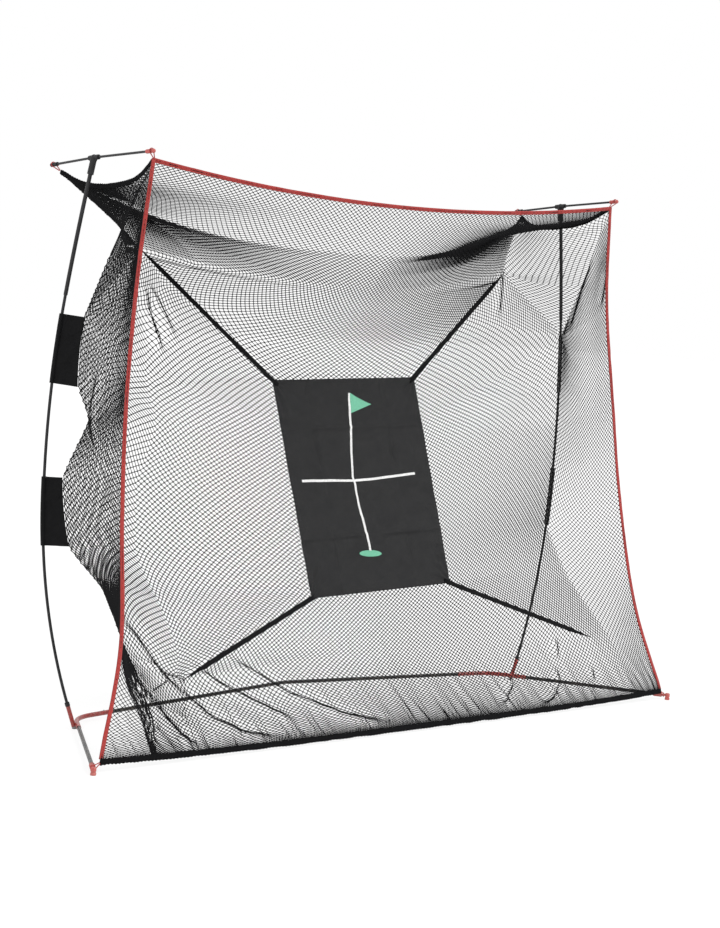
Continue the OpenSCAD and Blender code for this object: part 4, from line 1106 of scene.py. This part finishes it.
class NET_OT_add_sleeves(bpy.types.Operator):
    """Wrap the fabric sleeves round the poles"""
    bl_idname = "practice_net.add_sleeves"
    bl_label = "Pole sleeves"

    thickness = 0.0007      # of one layer of the cloth

    def execute(self, context):
        cloth = finish_of("sleeve_cloth", (0.004, 0.004, 0.0045), 0.5, spread=1.7, patch=35,
                          weave=(1200.0, 1200.0, 0.0003), **{"Specular IOR Level": 0.12})
        for side, sign in SIDES.items():
            for i, label in enumerate(("lower", "upper")):
                bm = self.sleeve(i, sign)
                piece = finished(f"sleeve_{label}_{side}", bm, cloth)
                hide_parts(f"pole_sleeves_{side}")
                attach(piece, "frame")
        return {"FINISHED"}

    def sleeve(self, i, sign):
        """One cloth round the pole, its two layers sewn together from the pole to the net."""
        columns, rows = 72, 60
        low_reach, high_reach = SLEEVE_REACHES[i]
        radius = SLEEVE_BORES[i] + 0.0010
        bm = grid(columns, rows, SLEEVE_FLAT)
        flat = coordinates(bm)
        a, b = flat[:, 0], flat[:, 1]
        axis_point = spline(SLEEVE_POLES[i], b)
        direction = unit(SLEEVE_POLES[i][-1] - SLEEVE_POLES[i][0])
        out = unit(FLAP_DIRECTION - FLAP_DIRECTION.dot(direction) * direction)
        aside = np.cross(direction, out)
        reach = mixed(low_reach, high_reach, b)
        # a runs from the flap's edge, along the front layer, round the pole and back along the rear layer.
        # turn: where it leaves the flap. start: the angle round the pole there. seam: half the flap's depth
        turn, start, seam = 0.34, 0.45, 0.0016
        layer = np.where(a < 0.5, a, 1 - a)
        on_flap = layer < turn
        along = np.where(on_flap, mixed(reach, radius * 0.9, np.clip(layer / turn, 0, 1)), 0)
        swing = mixed(start, math.pi, np.clip((layer - turn) / (0.5 - turn), 0, 1))
        x = np.where(on_flap, along, radius * np.cos(swing))
        thin = seam + (radius * math.sin(start) - seam) * np.exp(-np.maximum(along - radius, 0) / 0.012)
        y = np.where(on_flap, thin, radius * np.sin(swing))
        puckers = 0.0022 * value_noise(b * 9, along * 30, 11 + i) \
            + 0.0012 * value_noise(b * 26, along * 60, 21 + i)
        fade = np.clip(along / 0.02, 0, 1) * np.clip((reach - along) / 0.01 + 0.3, 0, 1)
        front = np.where(a < 0.5, 1, -1)
        shift = puckers * fade
        bow = 0.004 * np.sin(np.pi * b) * np.clip(along / reach, 0, 1)
        place = axis_point + (x - bow)[:, None] * out + (front * y + shift)[:, None] * aside
        put(bm, mirrored(place, sign))
        bmesh.ops.recalc_face_normals(bm, faces=bm.faces)
        return thicken(bm, self.thickness)


def wrinkle(x, y, width, length):
    """Height of the target's soft wrinkles, drawn from its corners and lying across it."""
    s, t = x / (width / 2), y / (length / 2)
    height = 0.0042 * value_noise(x * 9 + 3, y * 16 + 5, 31) + 0.0022 * value_noise(x * 22, y * 34, 32)
    flat = np.zeros_like(x)
    for place in CREASES_LEVEL:
        height = height + 0.0050 * np.exp(-((y - place) / CREASE_WIDTH) ** 2) \
            * (0.6 + 0.6 * value_noise(x * 7, flat, 33))
    for place in CREASES_UPRIGHT:
        height = height - 0.0045 * np.exp(-((x - place) / CREASE_WIDTH) ** 2) \
            * (0.4 + 0.8 * value_noise(flat, y * 7, 34))
    for cs in (-1, 1):
        for ct in (-1, 1):
            dx, dy = 1 - s * cs, 1 - t * ct
            far = np.hypot(dx, dy)
            angle = np.arctan2(dy, dx)
            height = height + 0.0035 * np.sin(angle * 14 + cs * 1.3 + ct) * np.exp(-far / 0.35) \
                * np.clip(far / 0.08, 0, 1)
    edge = np.clip(np.minimum(1 - np.abs(s), 1 - np.abs(t)) / 0.05, 0, 1)
    return height * (0.35 + 0.65 * edge)


class NET_OT_add_target(bpy.types.Operator):
    """Hang the target sheet with its printed flag and cross"""
    bl_idname = "practice_net.add_target"
    bl_label = "Target sheet"

    thickness, hem = 0.0010, 0.022      # the cloth's, and the width of the hem round it
    print_lift, print_thickness, print_cell = 0.0007, 0.0004, 0.0065

    def execute(self, context):
        size = context.scene.target_sizes
        cloth = finish_of("black_target_cloth", (0.0065, 0.0065, 0.007), 0.52, spread=1.5, patch=14,
                          weave=SHEET_WEAVE, **{"Specular IOR Level": 0.24})
        bm = grid(150, 170, (size.top_width, size.length))
        flat = coordinates(bm)
        x, y = self.plane(flat[:, 0], flat[:, 1], size)
        hem = self.hem_height(flat[:, 0], flat[:, 1], size)
        put(bm, target_point(x, y, wrinkle(x, y, size.top_width, size.length) + hem))
        bmesh.ops.recalc_face_normals(bm, faces=bm.faces)
        if sum(f.normal.y for f in bm.faces) > 0:
            bmesh.ops.reverse_faces(bm, faces=bm.faces)
        sheet = finished("target_cloth", thicken(bm, self.thickness), cloth)
        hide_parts("target_sheet")
        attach(sheet, "frame")
        white = finish_of("white_print", (0.90, 0.90, 0.89), 0.6, spread=0.85, patch=160, weave=PRINT_WEAVE)
        green = finish_of("green_print", tuple(size.print_colour), 0.6, spread=0.88, patch=160,
                          weave=PRINT_WEAVE)
        prints = [self.decal("target_print_pole", POLE_PRINT, white, size),
                  self.decal("target_print_flag", FLAG_PRINT, green, size)]
        for piece in prints:
            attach(piece, "frame")
        return {"FINISHED"}

    def plane(self, a, b, size):
        width = mixed(size.bottom_width, size.top_width, b)
        return (a - 0.5) * width, (b - 0.5) * size.length

    def hem_height(self, a, b, size):
        """The folded hem round the sheet, a second layer with a stitched inner edge."""
        edge = np.minimum(np.minimum(a, 1 - a) * size.top_width, np.minimum(b, 1 - b) * size.length)
        return 0.0009 * np.clip((self.hem - edge) / 0.003, 0, 1) \
            - 0.0005 * np.exp(-((edge - 0.019) / 0.002) ** 2)

    def decal(self, name, outlines, material, size):
        """A print that follows the cloth's wrinkles just proud of it."""
        bm = bmesh.new()
        layer = bm.loops.layers.uv.new("UVMap")
        for outline in outlines:
            corners = [bm.verts.new((x, y, 0)) for x, y in outline]
            face = bm.faces.new(corners)
            if face.normal.z < 0:
                face.normal_flip()
        for axis, reach in (((1, 0, 0), 0.45), ((0, 1, 0), 0.50)):
            for k in np.arange(-reach, reach, self.print_cell):
                bmesh.ops.bisect_plane(bm, geom=bm.verts[:] + bm.edges[:] + bm.faces[:], dist=1e-6,
                                       plane_co=(k * axis[0], k * axis[1], 0), plane_no=axis)
        for face in bm.faces:
            for corner in face.loops:
                corner[layer].uv = corner.vert.co.xy
        flat = coordinates(bm)
        lift = wrinkle(flat[:, 0], flat[:, 1], size.top_width, size.length) + self.print_lift
        put(bm, target_point(flat[:, 0], flat[:, 1], lift))
        return finished(name, thicken(bm, self.print_thickness), material)


class NET_OT_add_straps(bpy.types.Operator):
    """Sew the straps that hold the target to the net"""
    bl_idname = "practice_net.add_straps"
    bl_label = "Straps"

    def execute(self, context):
        size = context.scene.webbing_sizes
        target = context.scene.target_sizes
        webbing = finish_of("black_strap_webbing", WEBBING_BLACK, 0.7, spread=1.8, patch=60,
                            weave=WEBBING_WEAVE, **{"Specular IOR Level": 0.08})
        facing = np.array((0.0, -math.cos(TARGET_LEAN), math.sin(TARGET_LEAN)))
        sewn, proud, thickness = 0.034, 0.0022, 0.0018      # length on the sheet, height over it, thickness
        for side, sign in SIDES.items():
            parts = []
            for upper, anchor in ((1, STRAP_HIGH), (-1, HALVES[side]["strap_low"])):
                width = target.top_width if upper > 0 else target.bottom_width
                corner = target_point(sign * width / 2, upper * target.length / 2)
                end = mirrored(anchor, sign) - np.array((0, 0.004, 0))
                run = unit(end - corner)
                inside = corner - sewn * run + proud * facing
                reach = np.linalg.norm(end - corner) - (0.02 if upper > 0 else 0.03)
                turn_in = [inside, corner + proud * facing, corner + 0.012 * run + 0.0012 * facing]
                rest = [corner + d * run for d in np.linspace(0.03, reach, 60)]
                line = np.array(turn_in + rest)
                points, across, normal = rails(line, np.cross(facing, run))
                taper = np.interp(np.linalg.norm(line - line[-1], axis=1), (0.0, 0.11), (0.25, 1.0))
                rail = points, taper[:, None] * across, normal
                length = reach + sewn
                parts.append(band(grid(4, len(line) - 1, (size.strap_width, length)), rail, size.strap_width,
                                  thickness, lambda a, row: 0.0008 * value_noise(row / 4.0, a, 41)))
                cord = np.array([corner + d * run for d in np.linspace(reach - 0.012, reach + 0.03, 8)])
                parts.append(tube(grid(10, 7, (0.01, 0.04)), rails(cord, facing), 0.0016, 0.0016))
            piece = finished(f"straps_webbing_{side}", join_meshes(parts), webbing)
            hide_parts(f"straps_{side}")
            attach(piece, "frame")
        return {"FINISHED"}


class NET_OT_add_loops(bpy.types.Operator):
    """Loop the red elastics over the necks of the caps"""
    bl_idname = "practice_net.add_loops"
    bl_label = "Elastic loops"

    def execute(self, context):
        elastic = finish_of("red_loop_elastic", tuple(context.scene.net_colours.red), 0.6, spread=1.3,
                            patch=300, weave=(700.0, 700.0, 0.0004), **{"Sheen Weight": 0.2})
        top, rear, low = FRONT_EDGE[0], ROOF_EDGE[-1], FRONT_EDGE[-1]
        for side, sign in SIDES.items():
            parts = [self.loop(FRONT_NECK, FRONT_AXIS, CAP_LOOP, top + np.array((-0.003, 0, 0.006)), sign),
                     self.loop(REAR_NECK, REAR_AXIS, CAP_LOOP, rear + np.array((0, 0, 0.004)), sign)]
            piece = finished(f"corner_elastics_{side}", join_meshes(parts), elastic)
            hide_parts(f"corner_loops_{side}")
            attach(piece, f"t_bar_{side}")
            ground = self.loop(FOOT_NECK, FOOT_AXIS, FOOT_LOOP, low + np.array((0.002, 0, -0.004)), sign)
            piece = finished(f"ground_elastic_{side}", ground, elastic)
            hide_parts("ground_loops")
            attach(piece, "frame")
        return {"FINISHED"}

    def loop(self, neck, axis, radius, anchor, sign):
        """An elastic from the net's corner round a cap's neck and back. radius is that of its middle line."""
        d = unit(axis)
        toward = unit((anchor - neck) - (anchor - neck).dot(d) * d)
        aside = np.cross(d, toward)
        angles = np.linspace(0, math.pi, 25)
        half_turn = [neck + radius * (math.cos(a) * aside - math.sin(a) * toward) for a in angles]
        start = anchor + 0.002 * aside
        end = anchor - 0.002 * aside
        path = [mixed(start, half_turn[0], k) for k in np.linspace(0, 0.96, 10)] + half_turn \
            + [mixed(half_turn[-1], end, k) for k in np.linspace(0.04, 1, 10)]
        line = mirrored(np.array(path), sign)
        rail = rails(line, mirrored(d, sign))
        return tube(grid(12, len(line) - 1, (0.0125, 0.08)), rail, 0.002, 0.002)


class NET_OT_add_stage(bpy.types.Operator):
    """Set up the floor, the lamps, the background and the camera"""
    bl_idname = "practice_net.add_stage"
    bl_label = "Stage and camera"

    def execute(self, context):
        self.floor()
        self.light(context)
        self.camera(context)
        context.scene.view_settings.view_transform = "Standard"
        return {"FINISHED"}

    def floor(self):
        bm = bmesh.new()
        bmesh.ops.create_grid(bm, x_segments=1, y_segments=1, size=60)
        material = bpy.data.materials.new("studio_floor")
        material.use_nodes = True
        tree = material.node_tree
        shader = tree.nodes["Principled BSDF"]
        shader.inputs["Base Color"].default_value = (0.93, 0.93, 0.93, 1)
        shader.inputs["Roughness"].default_value = 0.9
        shader.inputs["Specular IOR Level"].default_value = 0.1
        glow = node(tree, "ShaderNodeEmission", {"Color": (1, 1, 1, 1), "Strength": 1.06})
        seen_as(tree, shader, glow, "Material Output", 0.82)
        mesh = bpy.data.meshes.new("studio_floor")
        bm.to_mesh(mesh)
        bm.free()
        mesh.materials.append(material)
        made = bpy.data.objects.new("studio_floor", mesh)
        bpy.context.scene.collection.objects.link(made)

    def light(self, context):
        world = bpy.data.worlds.new("studio")
        context.scene.world = world
        world.use_nodes = True
        tree = world.node_tree
        ambient = tree.nodes["Background"]
        ambient.inputs["Color"].default_value = (1, 1, 1, 1)
        ambient.inputs["Strength"].default_value = 0.70
        white = node(tree, "ShaderNodeBackground", {"Color": (1, 1, 1, 1), "Strength": 1.0})
        seen_as(tree, ambient, white, "World Output")
        lamps = (("key", 1.9, 25, (38, 12, 30)), ("fill", 0.6, 60, (55, -20, -60)))
        for name, strength, soft, turn in lamps:
            lamp = bpy.data.lights.new(name, "SUN")
            lamp.energy = strength
            lamp.angle = math.radians(soft)
            made = bpy.data.objects.new(name, lamp)
            made.rotation_euler = [math.radians(a) for a in turn]
            context.scene.collection.objects.link(made)

    def camera(self, context):
        """Sees the object from its left front, at eye height. The lens is in pixels of the frame's height."""
        place, lens, frame_height, sensor = (-5.466, -6.377, 1.749), 2000, 928, 36.0
        yaw, pitch, roll = (math.radians(a) for a in (40.63, -4.69, 3.22))
        forward = Vector((math.sin(yaw) * math.cos(pitch), math.cos(yaw) * math.cos(pitch), math.sin(pitch)))
        level = Vector((math.cos(yaw), -math.sin(yaw), 0))
        rise = level.cross(forward)
        right = math.cos(roll) * level + math.sin(roll) * rise
        up = -math.sin(roll) * level + math.cos(roll) * rise
        data = bpy.data.cameras.new("camera")
        data.sensor_width = sensor
        data.lens = lens / frame_height * sensor
        made = bpy.data.objects.new("camera", data)
        turn = Matrix((right, up, -forward)).transposed().to_4x4()
        made.matrix_world = Matrix.Translation(place) @ turn
        context.scene.collection.objects.link(made)
        context.scene.camera = made


OPERATORS = (NET_OT_finish_frame, NET_OT_add_snap_springs, NET_OT_add_netting, NET_OT_add_webbing,
             NET_OT_add_gathered_hems, NET_OT_add_sleeves, NET_OT_add_straps, NET_OT_add_target,
             NET_OT_add_loops, NET_OT_add_stage)
GROUPS = {"net_sizes": NetSizes, "webbing_sizes": WebbingSizes, "target_sizes": TargetSizes,
          "net_colours": FinishColours}


class NET_PT_panel(bpy.types.Panel):
    """Lists the pieces of the practice net"""
    bl_idname = "NET_PT_panel"
    bl_label = "Practice net"
    bl_space_type = "VIEW_3D"
    bl_region_type = "UI"
    bl_category = "Practice net"

    def draw(self, context):
        for group in GROUPS:
            box = self.layout.box()
            values = getattr(context.scene, group)
            for name in values.bl_rna.properties.keys():
                if name not in ("rna_type", "name"):
                    box.prop(values, name)
        for operator in OPERATORS:
            self.layout.operator(operator.bl_idname)


def register():
    for made in (*GROUPS.values(), *OPERATORS, NET_PT_panel):
        bpy.utils.register_class(made)
    for name, group in GROUPS.items():
        setattr(bpy.types.Scene, name, PointerProperty(type=group))


def unregister():
    for name in GROUPS:
        delattr(bpy.types.Scene, name)
    for made in reversed((*GROUPS.values(), *OPERATORS, NET_PT_panel)):
        bpy.utils.unregister_class(made)


def main():
    register()
    for operator in OPERATORS:
        group, name = operator.bl_idname.split(".")
        getattr(getattr(bpy.ops, group), name)()


if __name__ == "__main__":
    main()
